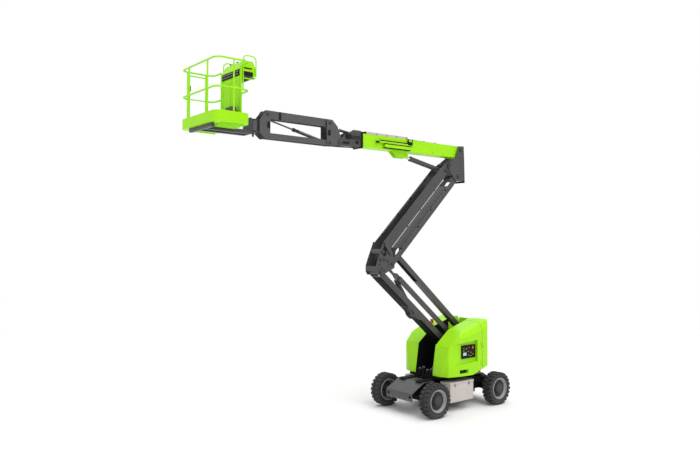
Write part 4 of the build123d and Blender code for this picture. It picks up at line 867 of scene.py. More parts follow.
@dataclass
class JibFittings:
    """The strap, pin caps, cylinder fittings and bumpers on the jib, and the telescope's nose."""

    # The strap on both sides of the upper arm, at a share of its length.
    arm_half: float = 0.072
    strap_thick: float = 0.003
    strap_share: float = 0.78
    strap_width: float = 0.05
    strap_across: Span = (-0.076, 0.076)
    # Half the distance between the end plates' outer faces, and the pin caps' radius.
    plate_half: float = 0.111
    pin_radius: float = 0.030
    # The pin at the cylinder's far end, then places along the barrel from its foot and out from its middle.
    cylinder_head: Point = (2.2805, 0.0, 5.93)
    gland_at: float = 0.80
    gland: Profile = ((0.0375, 0.0), (0.0375, 0.03), (0.03, 0.036))
    ports_along: tuple[Span, Span] = ((0.10, 0.14), (0.72, 0.76))
    port_side: Span = (0.028, 0.05)
    port_across: Span = (-0.014, 0.014)
    pipe_along: tuple[float, ...] = (0.12, 0.3, 0.6, 0.74)
    pipe_side: float = 0.046
    pipe_radius_mm: float = 4.0
    # The valve block on the telescope's nose and the two clips beside it.
    nose: tuple[Box, ...] = (
        Box((0.40, 0.124, 5.74), (0.52, 0.150, 5.84), 10.0),
        Box((0.44, 0.130, 5.64), (0.60, 0.146, 5.67), 6.0),
        Box((0.20, 0.126, 5.66), (0.26, 0.142, 5.72), 6.0),
    )
    nose_hose: Route = (
        (0.15, 0.134, 5.765), (0.26, 0.142, 5.765), (0.34, 0.144, 5.761), (0.42, 0.140, 5.765)
    )
    nose_hose_shift: Point = (0.0, 0.0, 0.025)
    nose_hoses: int = 3
    nose_hose_radius_mm: float = 8.0
    bumpers: tuple[tuple[str, Box], ...] = (
        ("jib_base", Box((0.902, 0.110, 5.76), (0.958, 0.119, 5.87), 8.0)),
        ("jib_head", Box((2.302, 0.110, 5.76), (2.358, 0.119, 5.87), 8.0)),
    )

    def build(self) -> None:
        """Make every fitting of the jib."""
        self._strap()
        base_joints = ("jib_lift", "jib_lower_arm_pivot", "jib_base_level")
        close_pins("jib_base", [joint_place(name) for name in base_joints], self.plate_half, self.pin_radius)
        close_pins("jib_head", [joint_place("jib_head_level")], self.plate_half, self.pin_radius)
        self._cylinder()
        Piece("telescope_nose_blocks", "telescope", BLACK_NYLON).blocks(*self.nose).finish_up()
        hoses = Piece("telescope_nose_hoses", "telescope", HOSE_RUBBER)
        hoses.tubes(self.nose_hose, self.nose_hose_shift, self.nose_hoses, self.nose_hose_radius_mm)
        hoses.finish_up()
        for body, bumper in self.bumpers:
            Piece(f"{body}_blocks", body, BLACK_NYLON).blocks(*on_both_sides(bumper)).finish_up()

    def _strap(self) -> None:
        """Lay the hose strap along both sides of the upper arm."""
        arm = Strut(joint_place("jib_lift"), joint_place("jib_head_level"))
        strap = Piece("jib_hose_strap", "jib_upper_arm", BLACK_NYLON)
        start = arm.length * self.strap_share
        along = (start, start + self.strap_width)
        for side in both_spans(self.arm_half, self.arm_half + self.strap_thick):
            arm.block(strap, along, side, self.strap_across, soft_mm=1.0)
        strap.finish_up()

    def _cylinder(self) -> None:
        """Make the jib cylinder's gland, its ports and the pipe between them."""
        barrel = Strut(joint_place("jib_cylinder_pivot"), Vector(self.cylinder_head))
        rings = Piece("jib_cylinder_gland", "jib_cylinder_barrel", BLACK_PAINT)
        rings.lathe(barrel.at(self.gland_at), barrel.along, self.gland)
        for along in self.ports_along:
            barrel.block(rings, along, self.port_side, self.port_across)
        rings.finish_up()
        pipe = Piece("jib_cylinder_pipe", "jib_cylinder_barrel", ZINC_PLATE)
        pipe.tube([barrel.at(along, self.pipe_side) for along in self.pipe_along], self.pipe_radius_mm)
        pipe.finish_up()


@dataclass
class ArmFittings:
    """Hoses, pipes, straps, black plates of painted shade and pin caps on the folding arms and their
    knuckles.
    """

    # Black plates of painted shade, in the front arm's open channel and on the lower arm's downward face:
    # the lengths left bare at the front arm's foot and top, and limits along the lower arm.
    front_shade_plate_ends: Span = (0.36, 0.62)
    front_shade_plate_half: float = 0.131
    front_shade_plate_across: Span = (0.100, 0.112)
    lower_shade_plates: tuple[tuple[str, Span], ...] = (
        ("lower_arm_foot", (0.30, 1.30)),
        ("lower_arm_head", (1.76, 2.80)),
    )
    lower_shade_plate_half: float = 0.132
    lower_shade_plate_across: Span = (-0.0685, -0.0655)
    shade_plate_lip: float = 0.010
    shade_plate_lip_depth: float = 0.004
    # Hoses and straps in the front arm's open side. Shares are of the arm's length.
    hose_sides: tuple[float, ...] = (-0.075, -0.030, 0.015, 0.060)
    hose_shares: tuple[float, ...] = (0.13, 0.24, 0.35, 0.46, 0.58)
    hose_across: float = 0.078
    hose_wave: float = 0.004
    hose_radius_mm: float = 10.0
    strap_every: float = 0.42
    strap_width: float = 0.035
    strap_half: float = 0.1315
    strap_across: Span = (0.058, 0.064)
    strap_screw_side: float = 0.1395
    strap_screw_along: float = 0.017
    strap_screw_across: float = 0.06
    strap_screw_mm: float = 7.0
    # Steel pipes: the lengths left bare at both ends, and their places to the side and across the arm.
    front_pipe_ends: Span = (0.34, 0.50)
    front_pipe_place: Span = (0.124, -0.100)
    rear_pipe_ends: Span = (0.32, 0.40)
    rear_pipe_place: Span = (0.154, -0.048)
    pipe_shares: tuple[float, ...] = (0.0, 0.35, 0.7, 1.0)
    pipe_radius_mm: float = 8.0
    clamp_shares: tuple[float, ...] = (0.04, 0.36, 0.62, 0.93)
    clamp_length: float = 0.035
    clamp_reach: Span = (0.010, 0.009)
    clamp_half: float = 0.018
    # Plates on the middle knuckle, ahead of and above its level pin, and their limits to the side: black
    # paint on the inner faces of its side plates as painted shade, a dark patch on each outer face, and a
    # bracket.
    shade_liner: Outline = (
        (-0.09, 0.600), (-0.17, 0.600), (-0.16, 0.300), (0.00, 0.030), (0.105, 0.020), (0.110, 0.125),
        (0.054, 0.275),
    )
    shade_liner_side: Span = (0.160, 0.165)
    patch: Outline = ((-0.10, 0.53), (-0.04, 0.40), (-0.09, 0.33), (-0.15, 0.36), (-0.15, 0.52))
    patch_side: Span = (0.1785, 0.182)
    bracket: Outline = (
        (-0.10, 0.625), (-0.16, 0.625), (-0.32, 0.40), (-0.30, 0.35), (-0.25, 0.36), (-0.10, 0.56)
    )
    bracket_side: Span = (0.1785, 0.196)
    pad: Box = Box((-0.545, 0.150, 3.600), (-0.480, 0.186, 3.668), 8.0)
    plate_half: float = 0.178
    pin_radius: float = 0.042
    # Place ahead, height and thread in mm of each bolt on the middle knuckle's plates.
    knuckle_bolts: tuple[Point, ...] = (
        (-0.47, 3.30, 26), (-0.57, 3.27, 20), (-0.62, 3.20, 14), (-0.40, 3.12, 14), (-0.46, 3.08, 14),
        (-0.33, 3.20, 14), (-0.36, 3.30, 30),
    )
    # Place ahead and height of each bolt on the top knuckle's plates.
    plate_bolts: Outline = tuple((x, 5.16 + 0.075 * step) for step in range(7) for x in (-2.93, -2.83))
    plate_bolt_mm: float = 6.0
    plate_bar: Box = Box((-2.985, -0.17, 5.045), (-2.945, 0.17, 5.085), 5.0)

    def build(self) -> None:
        """Make the fittings of every arm."""
        foot, top = joint_place("front_upper_arm_pivot"), joint_place("top_knuckle_level")
        rear_foot = joint_place("rear_upper_arm_pivot")
        rear_top = top + rear_foot - foot
        front, rear = Strut(foot, top), Strut(rear_foot, rear_top)
        lower = Strut(joint_place("riser_lift"), joint_place("mid_knuckle_level"))
        along = (self.front_shade_plate_ends[0], front.length - self.front_shade_plate_ends[1])
        half, across = self.front_shade_plate_half, self.front_shade_plate_across
        self._shade_plate("front_upper_arm", "front_upper_arm", front, along, half, across)
        half, across = self.lower_shade_plate_half, self.lower_shade_plate_across
        for name, along in self.lower_shade_plates:
            self._shade_plate(name, "lower_arm", lower, along, half, across)
        self._hoses(front)
        self._straps(front)
        self._pipes("rear_upper_arm", rear, self.rear_pipe_ends, self.rear_pipe_place)
        self._pipes("front_upper_arm", front, self.front_pipe_ends, self.front_pipe_place)
        self._mid_knuckle()
        self._top_knuckle()
        mid_pins = [joint_place("mid_knuckle_level"), foot, rear_foot]
        top_pins = [top, joint_place("boom_lift"), joint_place("boom_cylinder_pivot"), rear_top]
        close_pins("mid_knuckle", mid_pins, self.plate_half, self.pin_radius)
        close_pins("top_knuckle", top_pins, self.plate_half, self.pin_radius)

    def _shade_plate(self, name: str, body: str, arm: Strut, along: Span, half: float, across: Span) -> None:
        """Lay a black plate of painted shade along the face of an arm, with a folded lip on both sides.

        Args:
            name: The start of the piece's name.
            body: The body that it rides on.
            arm: The arm's place.
            along: Its two limits along the arm.
            half: Half its width.
            across: Its two limits across the arm.
        """
        # The black paint stands in for shade: in the bottom of the front arm's open channel, and on the
        # lower arm's face that looks down.
        plate = Piece(f"{name}_painted_shade_plate", body, BLACK_PAINT)
        arm.block(plate, along, (-half, half), across)
        for side in both_spans(half - self.shade_plate_lip, half):
            arm.block(plate, along, side, (across[0] - self.shade_plate_lip_depth, across[1]), soft_mm=2.0)
        plate.finish_up()

    def _hoses(self, arm: Strut) -> None:
        """Lay the hoses in the front arm's open side.

        Args:
            arm: The arm's place.
        """
        hoses = Piece("front_upper_arm_hoses", "front_upper_arm", HOSE_RUBBER)
        for index, side in enumerate(self.hose_sides):
            wave = self.hose_wave * (-1) ** index
            spots = enumerate(arm.length * share for share in self.hose_shares)
            route = [arm.at(along, side, self.hose_across + wave * (step % 2)) for step, along in spots]
            hoses.tube(route, self.hose_radius_mm)
        hoses.finish_up()

    def _straps(self, arm: Strut) -> None:
        """Lay straps over the front arm's open side.

        Args:
            arm: The arm's place.
        """
        straps = Piece("front_upper_arm_straps", "front_upper_arm", BLACK_NYLON)
        screws = Piece("front_upper_arm_strap_screws", "front_upper_arm", HUB_PAINT)
        count = int(arm.length / self.strap_every)
        width = (-self.strap_half, self.strap_half)
        for step in range(1, count - 2):
            along = arm.length * step / count
            arm.block(straps, (along, along + self.strap_width), width, self.strap_across, soft_mm=2.0)
            for out in (-1.0, 1.0):
                spot = along + self.strap_screw_along
                screw = arm.at(spot, out * self.strap_screw_side, self.strap_screw_across)
                screws.bolt(screw, Y_AXIS * out, self.strap_screw_mm)
        straps.finish_up()
        screws.finish_up()

    def _pipes(self, body: str, arm: Strut, ends: Span, place: Span) -> None:
        """Clamp a steel pipe along both sides of an arm.

        Args:
            body: The body that they ride on.
            arm: The arm's place.
            ends: The lengths left bare at the arm's foot and at its top.
            place: Their distances to either side and across the arm.
        """
        side, across = place
        pipe = Piece(f"{body}_pipes", body, NITRIDED_STEEL)
        clamps = Piece(f"{body}_pipe_clamps", body, BLACK_NYLON)
        start, long = ends[0], arm.length - ends[1] - ends[0]
        inward, outward = self.clamp_reach
        depth = (across - self.clamp_half, across + self.clamp_half)
        for out, span in zip((-1.0, 1.0), both_spans(side - inward, side + outward)):
            route = [arm.at(start + long * share, out * side, across) for share in self.pipe_shares]
            pipe.tube(route, self.pipe_radius_mm)
            for share in self.clamp_shares:
                spot = start + long * share
                arm.block(clamps, (spot, spot + self.clamp_length), span, depth)
        pipe.finish_up()
        clamps.finish_up()

    def _mid_knuckle(self) -> None:
        """Make the painted-shade lining, dark patches, brackets, pads and bolts of the middle knuckle."""
        origin = joint_place("mid_knuckle_level")
        # The black sheets on the plates' inner faces are painted shade inside the knuckle.
        dark = Piece("mid_knuckle_shade_liner_and_patch", "mid_knuckle", BLACK_PAINT)
        bracket = Piece("mid_knuckle_brackets", "mid_knuckle", GREY_POWDER_COAT)
        for piece, outline, span in (
            (dark, self.shade_liner, self.shade_liner_side),
            (dark, self.patch, self.patch_side),
            (bracket, self.bracket, self.bracket_side),
        ):
            for low, high in both_spans(*span):
                piece.sheet(outline, low, high, Y_AXIS, origin, X_AXIS)
        dark.finish_up()
        bracket.finish_up()
        Piece("mid_knuckle_pads", "mid_knuckle", PALE_ENAMEL).blocks(*on_both_sides(self.pad)).finish_up()
        bolts = Piece("mid_knuckle_bolts", "mid_knuckle", HUB_PAINT)
        for side in (-1.0, 1.0):
            for x, z, size_mm in self.knuckle_bolts:
                bolts.bolt((x, side * self.plate_half, z), Y_AXIS * side, size_mm)
        bolts.finish_up()

    def _top_knuckle(self) -> None:
        """Make the rows of bolts and the cross bar of the top knuckle."""
        bolts = Piece("top_knuckle_bolts", "top_knuckle", BLACK_PAINT)
        for side in (-1.0, 1.0):
            rows = [(x, side * self.plate_half, z) for x, z in self.plate_bolts]
            bolts.bolts(rows, Y_AXIS * side, self.plate_bolt_mm)
        bolts.blocks(self.plate_bar).finish_up()


@dataclass
class Wheels:
    """The four lugged tyres with their dished centres, rim rings and nuts."""

    axles: tuple[tuple[str, float], ...] = (("front", -1.3495), ("rear", -3.3495))
    axle_z: float = 0.364
    middle_y: float = 0.757
    face_y: float = 0.806
    radius: float = 0.3632
    # The tyre's section from the middle of its bore round the sidewall to the middle of its tread.
    half_section: Profile = (
        (0.237, 0.0), (0.237, 0.085), (0.246, 0.098), (0.275, 0.110), (0.305, 0.114), (0.3312, 0.104),
        (0.3392, 0.085), (0.3412, 0.0),
    )
    tyre_sides: int = 64
    # A lug and its foot on the sidewall: its size, and its middle's distances from the tyre's middle plane
    # and below the tread.
    lugs: int = 23
    lug_size: Point = (0.064, 0.1035, 0.024)
    lug_side: float = 0.0621
    lug_below_top: float = 0.015
    lug_turn_deg: float = 14.0
    foot_size: Point = (0.05248, 0.024, 0.052)
    foot_side: float = 0.103
    foot_below_top: float = 0.045
    lug_soft_mm: float = 5.0
    # Radius and height above the wheel's face along the dished centre and along the rim ring.
    dish: Profile = (
        (0.190, -0.02), (0.190, 0.004), (0.176, 0.008), (0.160, -0.008), (0.118, -0.004), (0.112, 0.020),
        (0.108, 0.050), (0.098, 0.056), (0.064, 0.056), (0.058, 0.062), (0.0, 0.064),
    )
    dish_sides: int = 48
    rim_ring: Profile = (
        (0.191, -0.01), (0.191, 0.010), (0.200, 0.026), (0.222, 0.036), (0.233, 0.052), (0.237, 0.050),
        (0.237, -0.01),
    )
    nuts: int = 9
    # Radius of each circle of nuts, its height above the wheel's face and the thread in mm.
    nut_circles: tuple[Point, ...] = ((0.140, -0.006, 17), (0.081, 0.055, 10))

    def build(self) -> None:
        """Make the four wheels."""
        for end, x in self.axles:
            for side, out in SIDES:
                name = f"{end}_{side}"
                self._tyre(name, Vector((x, out * self.middle_y, self.axle_z)), out)
                self._centre(f"{name}_wheel", Vector((x, out * self.face_y, self.axle_z)), Y_AXIS * out)

    def _tyre(self, name: str, middle: Vector, out: float) -> None:
        """Make one tyre with two rows of slanting lugs.

        Args:
            name: The wheel's end and side.
            middle: The wheel's middle.
            out: 1 on the left side and -1 on the right.
        """
        tyre = Piece(f"{name}_lugged_tyre", f"{name}_wheel", TYRE_RUBBER)
        other_half = [(radius, -along) for radius, along in reversed(self.half_section[1:-1])]
        tyre.lathe(middle, Y_AXIS * out, [*self.half_section, *other_half], self.tyre_sides, hollow=True)
        # The second row lies half a lug further round.
        for row, shift in ((1.0, 0.0), (-1.0, 0.5)):
            for step in range(self.lugs):
                angle = 2 * math.pi * (step + shift) / self.lugs
                turn = Matrix.Rotation(angle, 3, "Y")
                slant = turn @ Matrix.Rotation(math.radians(self.lug_turn_deg) * row, 3, "Z")
                for size, side, below, lie in (
                    (self.lug_size, self.lug_side, self.lug_below_top, slant),
                    (self.foot_size, self.foot_side, self.foot_below_top, turn),
                ):
                    at = middle + turn @ Vector((0.0, row * side, self.radius - below))
                    half = Vector(size) / 2
                    tyre.block(at - half, at + half, self.lug_soft_mm, lie)
        tyre.finish_up(f"{name}_tyre")

    def _centre(self, body: str, at: Vector, outward: Vector) -> None:
        """Make one wheel's dished centre, rim ring and nuts.

        Args:
            body: The wheel's body.
            at: The middle of the wheel's outer face.
            outward: The direction away from the machine.
        """
        dish = Piece(f"{body}_centre", body, HUB_PAINT)
        dish.lathe(at, outward, self.dish, self.dish_sides)
        dish.finish_up()
        ring = Piece(f"{body}_rim_ring", body, SILVER_PAINT)
        ring.lathe(at, outward, self.rim_ring, self.tyre_sides, hollow=True)
        ring.finish_up()
        nuts = Piece(f"{body}_nuts", body, HUB_PAINT)
        for step in range(self.nuts):
            angle = 2 * math.pi * step / self.nuts
            around = Vector((math.cos(angle), 0.0, math.sin(angle)))
            for radius, height, size_mm in self.nut_circles:
                nuts.bolt(at + around * radius + outward * height, outward, size_mm)
        nuts.finish_up()


@dataclass
class PlatformFittings:
    """The control face, levers, foot switch shroud, panel ribs, lattice floor and gate latch."""

    # The control box's dark front and lower edge, and two strips on both of its sides.
    face: tuple[Box, ...] = (
        Box((3.052, -0.310, 6.575), (3.064, 0.310, 6.690), 5.0),
        Box((2.76, -0.31, 6.562), (3.05, 0.31, 6.574), 4.0),
    )
    cheeks: tuple[Box, ...] = (
        Box((2.80, 0.322, 6.580), (3.02, 0.332, 6.660), 5.0),
        Box((2.82, 0.322, 6.705), (2.98, 0.332, 6.730), 4.0),
    )
    knobs: tuple[Point, ...] = tuple(
        (3.063, -0.26 + 0.052 * step, 6.610 + 0.045 * row) for row in range(2) for step in range(11)
    )
    knob: Profile = ((0.011, 0.0), (0.011, 0.008), (0.008, 0.012), (0.0, 0.012))
    # The foot switch's tread and its hood.
    shroud: tuple[Box, ...] = (
        Box((3.12, 0.085, 5.84), (3.30, 0.315, 5.872), 8.0),
        Box((3.12, 0.085, 5.86), (3.22, 0.315, 6.020), 24.0),
    )
    middle_rib: Box = Box((3.054, -0.036, 5.86), (3.066, -0.004, 6.56), 4.0)
    side_rib: Box = Box((3.054, 0.284, 5.86), (3.066, 0.316, 6.56), 4.0)
    cross_ribs: tuple[Box, ...] = (
        Box((3.054, -0.33, 5.972), (3.061, 0.33, 5.988)),
        Box((3.054, -0.33, 6.492), (3.061, 0.33, 6.508)),
    )
    # Levers and stop button on the control box's top.
    levers: tuple[Point, ...] = ((2.93, -0.24, 6.845), (2.93, 0.0, 6.845), (2.93, 0.24, 6.845))
    lever: Profile = (
        (0.030, 0.0), (0.030, 0.008), (0.012, 0.014), (0.010, 0.030), (0.015, 0.038), (0.015, 0.050),
        (0.0, 0.054),
    )
    stop_at: Point = (2.93, -0.12, 6.845)
    stop: Profile = ((0.012, 0.0), (0.012, 0.02), (0.022, 0.024), (0.022, 0.034), (0.0, 0.040))
    # The lattice under the floor: bars ahead, and bars across below them.
    long_bars: tuple[Box, ...] = tuple(
        Box((3.07, -0.635 + 0.06 * step, 5.690), (3.68, -0.625 + 0.06 * step, 5.704), 2.0)
        for step in range(22)
    )
    cross_bars: tuple[Box, ...] = tuple(
        Box((3.115 + 0.065 * step, -0.64, 5.682), (3.125 + 0.065 * step, 0.64, 5.692), 2.0)
        for step in range(9)
    )
    # The gate latch's case and its tongue.
    latch: tuple[Box, ...] = (
        Box((3.50, -0.694, 6.40), (3.545, -0.670, 6.50), 4.0),
        Box((3.51, -0.712, 6.43), (3.53, -0.690, 6.47), 4.0),
    )

    def build(self) -> None:
        """Make every fitting of the platform."""
        face = Piece("platform_control_face", "platform", BLACK_NYLON)
        face.blocks(*self.face, *on_both_sides(*self.cheeks)).finish_up()
        knobs = Piece("platform_control_knobs", "platform", ZINC_PLATE)
        knobs.lathes(self.knobs, X_AXIS, self.knob, sides=12).finish_up()
        shroud = Piece("foot_switch_shroud", "platform", GREY_POWDER_COAT)
        shroud.blocks(*self.shroud).finish_up()
        ribs = Piece("platform_panel_ribs", "platform", LIME_POWDER_COAT)
        ribs.blocks(self.middle_rib, *on_both_sides(self.side_rib), *self.cross_ribs).finish_up()
        levers = Piece("platform_levers", "platform", BLACK_NYLON, "dark_plastic")
        levers.lathes(self.levers, Z_AXIS, self.lever, sides=20).finish_up()
        button = Piece("platform_stop_button", "platform", RED_LENS)
        button.lathes([self.stop_at], Z_AXIS, self.stop, sides=24).finish_up()
        lattice = Piece("platform_floor_lattice", "platform", LIME_POWDER_COAT)
        lattice.blocks(*self.long_bars, *self.cross_bars).finish_up()
        Piece("gate_latch", "platform_gate", BLACK_NYLON).blocks(*self.latch).finish_up()


@dataclass
class BaseFittings:
    """Tie-down eyes, box latches, deck hoses and valves, ground controls, grip liners and side frames."""

    # Each axle cover's name, the place of its face, and the direction that it looks in.
    covers: tuple[tuple[str, float, float], ...] = (
        ("front_cover", -1.036, 1.0),
        ("rear_cover", -3.662, -1.0),
    )
    eye: Profile = ((0.030, 0.0), (0.030, 0.010), (0.020, 0.014), (0.012, 0.010), (0.0, 0.010))
    eye_sides: tuple[float, ...] = (-0.33, 0.33)
    eye_z: float = 0.40
    eye_sunk: float = 0.006
    cover_bolt_sides: tuple[float, ...] = (-0.24, -0.08, 0.08, 0.24)
    cover_bolt_z: float = 0.34
    cover_bolt_sunk: float = 0.004
    cover_bolt_mm: float = 9.0
    # Plate and handle of each of the left side box's two latches.
    box_latches: tuple[Box, ...] = (
        Box((-2.518, 0.684, 0.545), (-2.482, 0.700, 0.615)),
        Box((-2.510, 0.692, 0.560), (-2.490, 0.706, 0.585)),
        Box((-2.068, 0.684, 0.545), (-2.032, 0.700, 0.615)),
        Box((-2.060, 0.692, 0.560), (-2.040, 0.706, 0.585)),
    )
    deck_hose_sides: tuple[float, ...] = (-0.06, -0.02, 0.02, 0.06)
    # Place ahead, spread against the first point's, and height of each point of the deck hoses.
    deck_hose_route: Route = ((-1.86, 1.0, 0.775), (-2.0, 1.2, 0.80), (-2.2, 1.5, 0.79), (-2.4, 1.4, 0.80))
    deck_hose_radius_mm: float = 11.0
    # A row of valve blocks across the deck, each with two ports on top, and the post beside them.
    valve_heights: tuple[float, ...] = (0.10, 0.14, 0.09, 0.12)
    valve_x: Span = (-1.875, -1.805)
    valve_y: float = -0.21
    valve_every: float = 0.12
    valve_width: float = 0.085
    valve_foot_z: float = 0.742
    valve_port_sides: Span = (0.020, 0.060)
    valve_port_sunk: float = 0.002
    valve_port: Profile = ((0.009, 0.0), (0.009, 0.014), (0.006, 0.018), (0.006, 0.034), (0.0, 0.036))
    valve_post: Box = Box((-1.812, 0.262, 0.742), (-1.800, 0.274, 0.960), 2.0)
    # The ground controls: the panel and the four sides of its frame, then what stands on it.
    control_panel: tuple[Box, ...] = (
        Box((-2.675, 0.690, 1.125), (-2.235, 0.716, 1.410), 12.0),
        Box((-2.675, 0.710, 1.125), (-2.655, 0.726, 1.410), 4.0),
        Box((-2.255, 0.710, 1.125), (-2.235, 0.726, 1.410), 4.0),
        Box((-2.675, 0.710, 1.390), (-2.235, 0.726, 1.410), 4.0),
        Box((-2.675, 0.710, 1.125), (-2.235, 0.726, 1.145), 4.0),
    )
    screen: Box = Box((-2.385, 0.712, 1.185), (-2.280, 0.722, 1.255), 4.0)
    stop_at: Point = (-2.575, 0.714, 1.350)
    stop: Profile = ((0.018, 0.0), (0.018, 0.012), (0.030, 0.016), (0.030, 0.026), (0.0, 0.032))
    switches: tuple[Point, ...] = (
        (-2.30, 0.715, 1.35), (-2.38, 0.715, 1.33), (-2.46, 0.715, 1.35), (-2.30, 0.715, 1.29),
        (-2.44, 0.715, 1.27), (-2.53, 0.715, 1.24), (-2.46, 0.715, 1.19), (-2.60, 0.715, 1.20),
        (-2.53, 0.715, 1.17),
    )
    switch: Profile = ((0.010, 0.0), (0.010, 0.006), (0.006, 0.014), (0.0, 0.014))
    grip_liner: Box = Box((-2.395, 0.6945, 0.815), (-2.175, 0.704, 0.885), 10.0)
    # On both sides: the frame behind the side box, the plate ahead of the deck, and a post.
    frame_blocks: tuple[Box, ...] = (
        Box((-2.92, 0.42, 0.300), (-2.66, 0.50, 0.640), 6.0),
        Box((-1.86, 0.16, 0.672), (-1.34, 0.34, 0.690), 4.0),
    )
    frame_post: Box = Box((-2.80, 0.500, 0.320), (-2.775, 0.512, 0.630), 4.0)

    def build(self) -> None:
        """Make every fitting of the base."""
        self._tie_downs()
        for side, out in SIDES:
            latches = [box.on_side(out) for box in self.box_latches]
            Piece(f"{side}_box_latches", "chassis", ZINC_PLATE).blocks(*latches).finish_up()
        self._deck()
        self._ground_controls()
        for side, out in SIDES:
            grip = Piece(f"{side}_hood_grip_liner", f"{side}_hood", BLACK_NYLON)
            grip.blocks(self.grip_liner.on_side(out)).finish_up()
        frames = Piece("side_frame_blocks", "chassis", BLACK_PAINT)
        frames.blocks(*on_both_sides(*self.frame_blocks)).finish_up()
        posts = Piece("side_frame_posts", "chassis", GREY_POWDER_COAT)
        posts.blocks(*on_both_sides(self.frame_post)).finish_up()

    def _tie_downs(self) -> None:
        """Make the tie-down eyes and bolts on the axle covers."""
        for name, x, out in self.covers:
            spots = [(x - out * self.eye_sunk, y, self.eye_z) for y in self.eye_sides]
            eyes = Piece(f"{name}_eyes", "chassis", BLACK_PAINT)
            eyes.lathes(spots, X_AXIS * out, self.eye, sides=24).finish_up()
            spots = [(x - out * self.cover_bolt_sunk, y, self.cover_bolt_z) for y in self.cover_bolt_sides]
            bolts = Piece(f"{name}_bolts", "chassis", ZINC_PLATE)
            bolts.bolts(spots, X_AXIS * out, self.cover_bolt_mm).finish_up()

    def _deck(self) -> None:
        """Lay the hoses that cross the deck ahead of the turntable's slot, with their valve blocks."""
        hoses = Piece("deck_hoses", "turntable", HOSE_RUBBER)
        for y in self.deck_hose_sides:
            route = [(x, y * spread, z) for x, spread, z in self.deck_hose_route]
            hoses.tube(route, self.deck_hose_radius_mm)
        hoses.finish_up()
        valves = Piece("deck_valve_blocks", "turntable", BLACK_PAINT)
        fittings = Piece("deck_valve_fittings", "turntable", ZINC_PLATE)
        x0, x1 = self.valve_x
        for step, height in enumerate(self.valve_heights):
            y, top = self.valve_y + self.valve_every * step, self.valve_foot_z + height
            valves.block((x0, y, self.valve_foot_z), (x1, y + self.valve_width, top), soft_mm=5.0)
            ports = [((x0 + x1) / 2, y + side, top - self.valve_port_sunk) for side in self.valve_port_sides]
            fittings.lathes(ports, Z_AXIS, self.valve_port, sides=12)
        valves.finish_up()
        fittings.blocks(self.valve_post).finish_up()

    def _ground_controls(self) -> None:
        """Make the control panel in the left hood's recess, with its screen, stop button and switches."""
        panel = Piece("ground_control_panel", "left_hood", BLACK_NYLON, "dark_plastic")
        panel.blocks(*self.control_panel).finish_up()
        Piece("ground_control_screen", "left_hood", SCREEN_GLASS).blocks(self.screen).finish_up()
        stop = Piece("ground_stop_button", "left_hood", RED_LENS)
        stop.lathes([self.stop_at], Y_AXIS, self.stop, sides=28).finish_up()
        switches = Piece("ground_control_switches", "left_hood", YELLOW_NYLON)
        switches.lathes(self.switches, Y_AXIS, self.switch, sides=16).finish_up()


@dataclass
class CadPieces:
    """The machine's own solids, which only need their finishes."""

    def finish_for(self, node: str) -> Finish:
        """Return the finish of one solid.

        Args:
            node: The solid's name.

        Returns:
            Its finish.
        """
        for finish, nodes in FINISHED_NODES.items():
            if node in nodes:
                return finish
        for ending, finish in FINISHED_ENDINGS.items():
            if node.endswith(ending):
                return finish
        return GREY_POWDER_COAT

    def dress(self) -> None:
        """Give every solid its finish."""
        for name, node in frame["nodes"].items():
            node.data.materials.clear()
            node.data.materials.append(self.finish_for(name).material())
        LOG.info("dressed %d solids", len(frame["nodes"]))


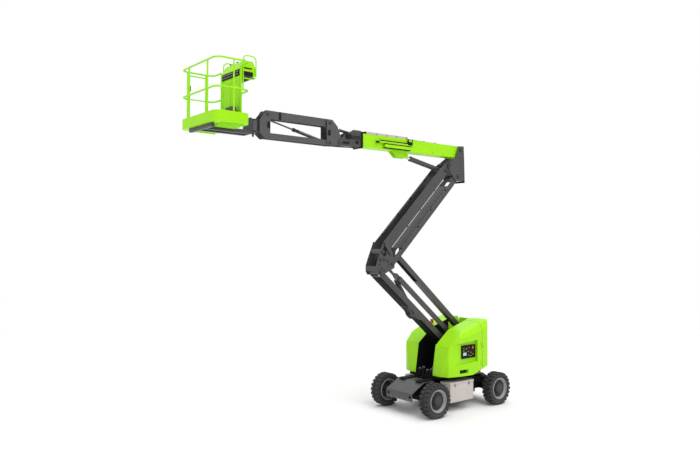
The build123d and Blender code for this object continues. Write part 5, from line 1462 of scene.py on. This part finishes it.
# ================================================================ studio
@dataclass
class Studio:
    """Floor, lamps, world and camera."""

    floor_size: float = 400.0
    floor_colour: str = "F0F0F0"
    white: str = "FFFFFF"
    fade: Span = (5.0, 20.0)
    camera_at: Point = (8.9642, 10.6110, 3.6277)
    azimuth_deg: float = 50.822
    pitch_deg: float = 1.482
    lens_mm: float = 34.70
    sensor_mm: float = 36.0
    view_end: float = 1000.0
    sky: float = 0.52
    # Each sun's name, the way to it, its strength and its spread in degrees.
    lamps: tuple[tuple[str, Point, float, float], ...] = (
        ("left_sun", (0.15, 1.0, 1.25), 1.5, 50.0),
        ("front_sun", (1.0, 0.1, 0.7), 0.35, 60.0),
        ("top_sun", (-0.2, -0.1, 1.0), 1.1, 70.0),
    )

    def build_floor(self) -> None:
        """Lay a pale floor that keeps the shadow near the machine and fades to white far away."""
        mesh = bpy.data.meshes.new("studio_floor")
        half = self.floor_size / 2
        corners = [(-half, -half, 0), (half, -half, 0), (half, half, 0), (-half, half, 0)]
        mesh.from_pydata(corners, [], [(0, 1, 2, 3)])
        floor = bpy.data.objects.new("studio_floor", mesh)
        bpy.context.scene.collection.objects.link(floor)
        material = bpy.data.materials.new("matt_white_studio_floor")
        material.use_nodes = True
        tree = material.node_tree
        tree.nodes.clear()
        place = add_node(tree, "ShaderNodeTexCoord").outputs["Object"]
        away = add_node(tree, "ShaderNodeVectorMath", {"operation": "LENGTH"}, {0: place}).outputs["Value"]
        limits = {"From Min": self.fade[0], "From Max": self.fade[1]}
        far = add_node(tree, "ShaderNodeMapRange", limits, {"Value": away}).outputs["Result"]
        seen = add_node(tree, "ShaderNodeLightPath").outputs["Is Camera Ray"]
        amount = add_node(tree, "ShaderNodeMath", {"operation": "MULTIPLY"}, {0: far, 1: seen})
        matt = add_node(tree, "ShaderNodeBsdfDiffuse", {"Color": linear(self.floor_colour)})
        white = add_node(tree, "ShaderNodeEmission", {"Color": linear(self.white)})
        mixed = add_node(
            tree,
            "ShaderNodeMixShader",
            {},
            {0: amount.outputs[0], 1: matt.outputs["BSDF"], 2: white.outputs["Emission"]},
        )
        add_node(tree, "ShaderNodeOutputMaterial", {}, {"Surface": mixed.outputs["Shader"]})
        mesh.materials.append(material)

    def build_world(self) -> None:
        """Surround the scene with plain white light, at full strength only where it is seen directly."""
        world = bpy.data.worlds.new("studio_world")
        bpy.context.scene.world = world
        world.use_nodes = True
        tree = world.node_tree
        tree.nodes.clear()
        path = add_node(tree, "ShaderNodeLightPath")
        seen = path.outputs["Is Camera Ray"]
        for ray in ("Is Glossy Ray", "Is Transmission Ray"):
            both = {0: seen, 1: path.outputs[ray]}
            seen = add_node(tree, "ShaderNodeMath", {"operation": "MAXIMUM"}, both).outputs[0]
        strength = add_node(
            tree, "ShaderNodeMapRange", {"To Min": self.sky, "To Max": 1.0}, {"Value": seen}
        )
        white = {"Color": linear(self.white)}
        light = add_node(tree, "ShaderNodeBackground", white, {"Strength": strength.outputs["Result"]})
        add_node(tree, "ShaderNodeOutputWorld", {}, {"Surface": light.outputs["Background"]})

    def build_lamps(self) -> None:
        """Hang broad soft suns on the left, ahead and above."""
        for name, toward, strength, spread in self.lamps:
            data = bpy.data.lights.new(name, "SUN")
            data.energy = strength
            data.angle = math.radians(spread)
            lamp = bpy.data.objects.new(name, data)
            lamp.rotation_euler = Vector(toward).to_track_quat("Z", "Y").to_euler()
            bpy.context.scene.collection.objects.link(lamp)

    def build_camera(self) -> None:
        """Stand the camera ahead and to the left of the machine, at half its height."""
        data = bpy.data.cameras.new("camera")
        data.lens = self.lens_mm
        data.sensor_width = self.sensor_mm
        data.clip_end = self.view_end
        camera = bpy.data.objects.new("camera", data)
        azimuth, pitch = math.radians(self.azimuth_deg), math.radians(self.pitch_deg)
        flat = math.cos(pitch)
        look = Vector((-math.cos(azimuth) * flat, -math.sin(azimuth) * flat, math.sin(pitch)))
        camera.location = self.camera_at
        camera.rotation_euler = look.to_track_quat("-Z", "Y").to_euler()
        bpy.context.scene.collection.objects.link(camera)
        bpy.context.scene.camera = camera

    def build(self) -> None:
        """Set the whole studio up."""
        bpy.context.scene.view_settings.view_transform = "Standard"
        self.build_floor()
        self.build_world()
        self.build_lamps()
        self.build_camera()


def main() -> None:
    """Dress the machine, build its fittings in order and set up the studio."""
    logging.basicConfig(level=logging.INFO)
    Studio().build()
    CadPieces().dress()
    BoomFittings().build()
    JibFittings().build()
    ArmFittings().build()
    Wheels().build()
    PlatformFittings().build()
    BaseFittings().build()


if __name__ == "__main__":
    main()
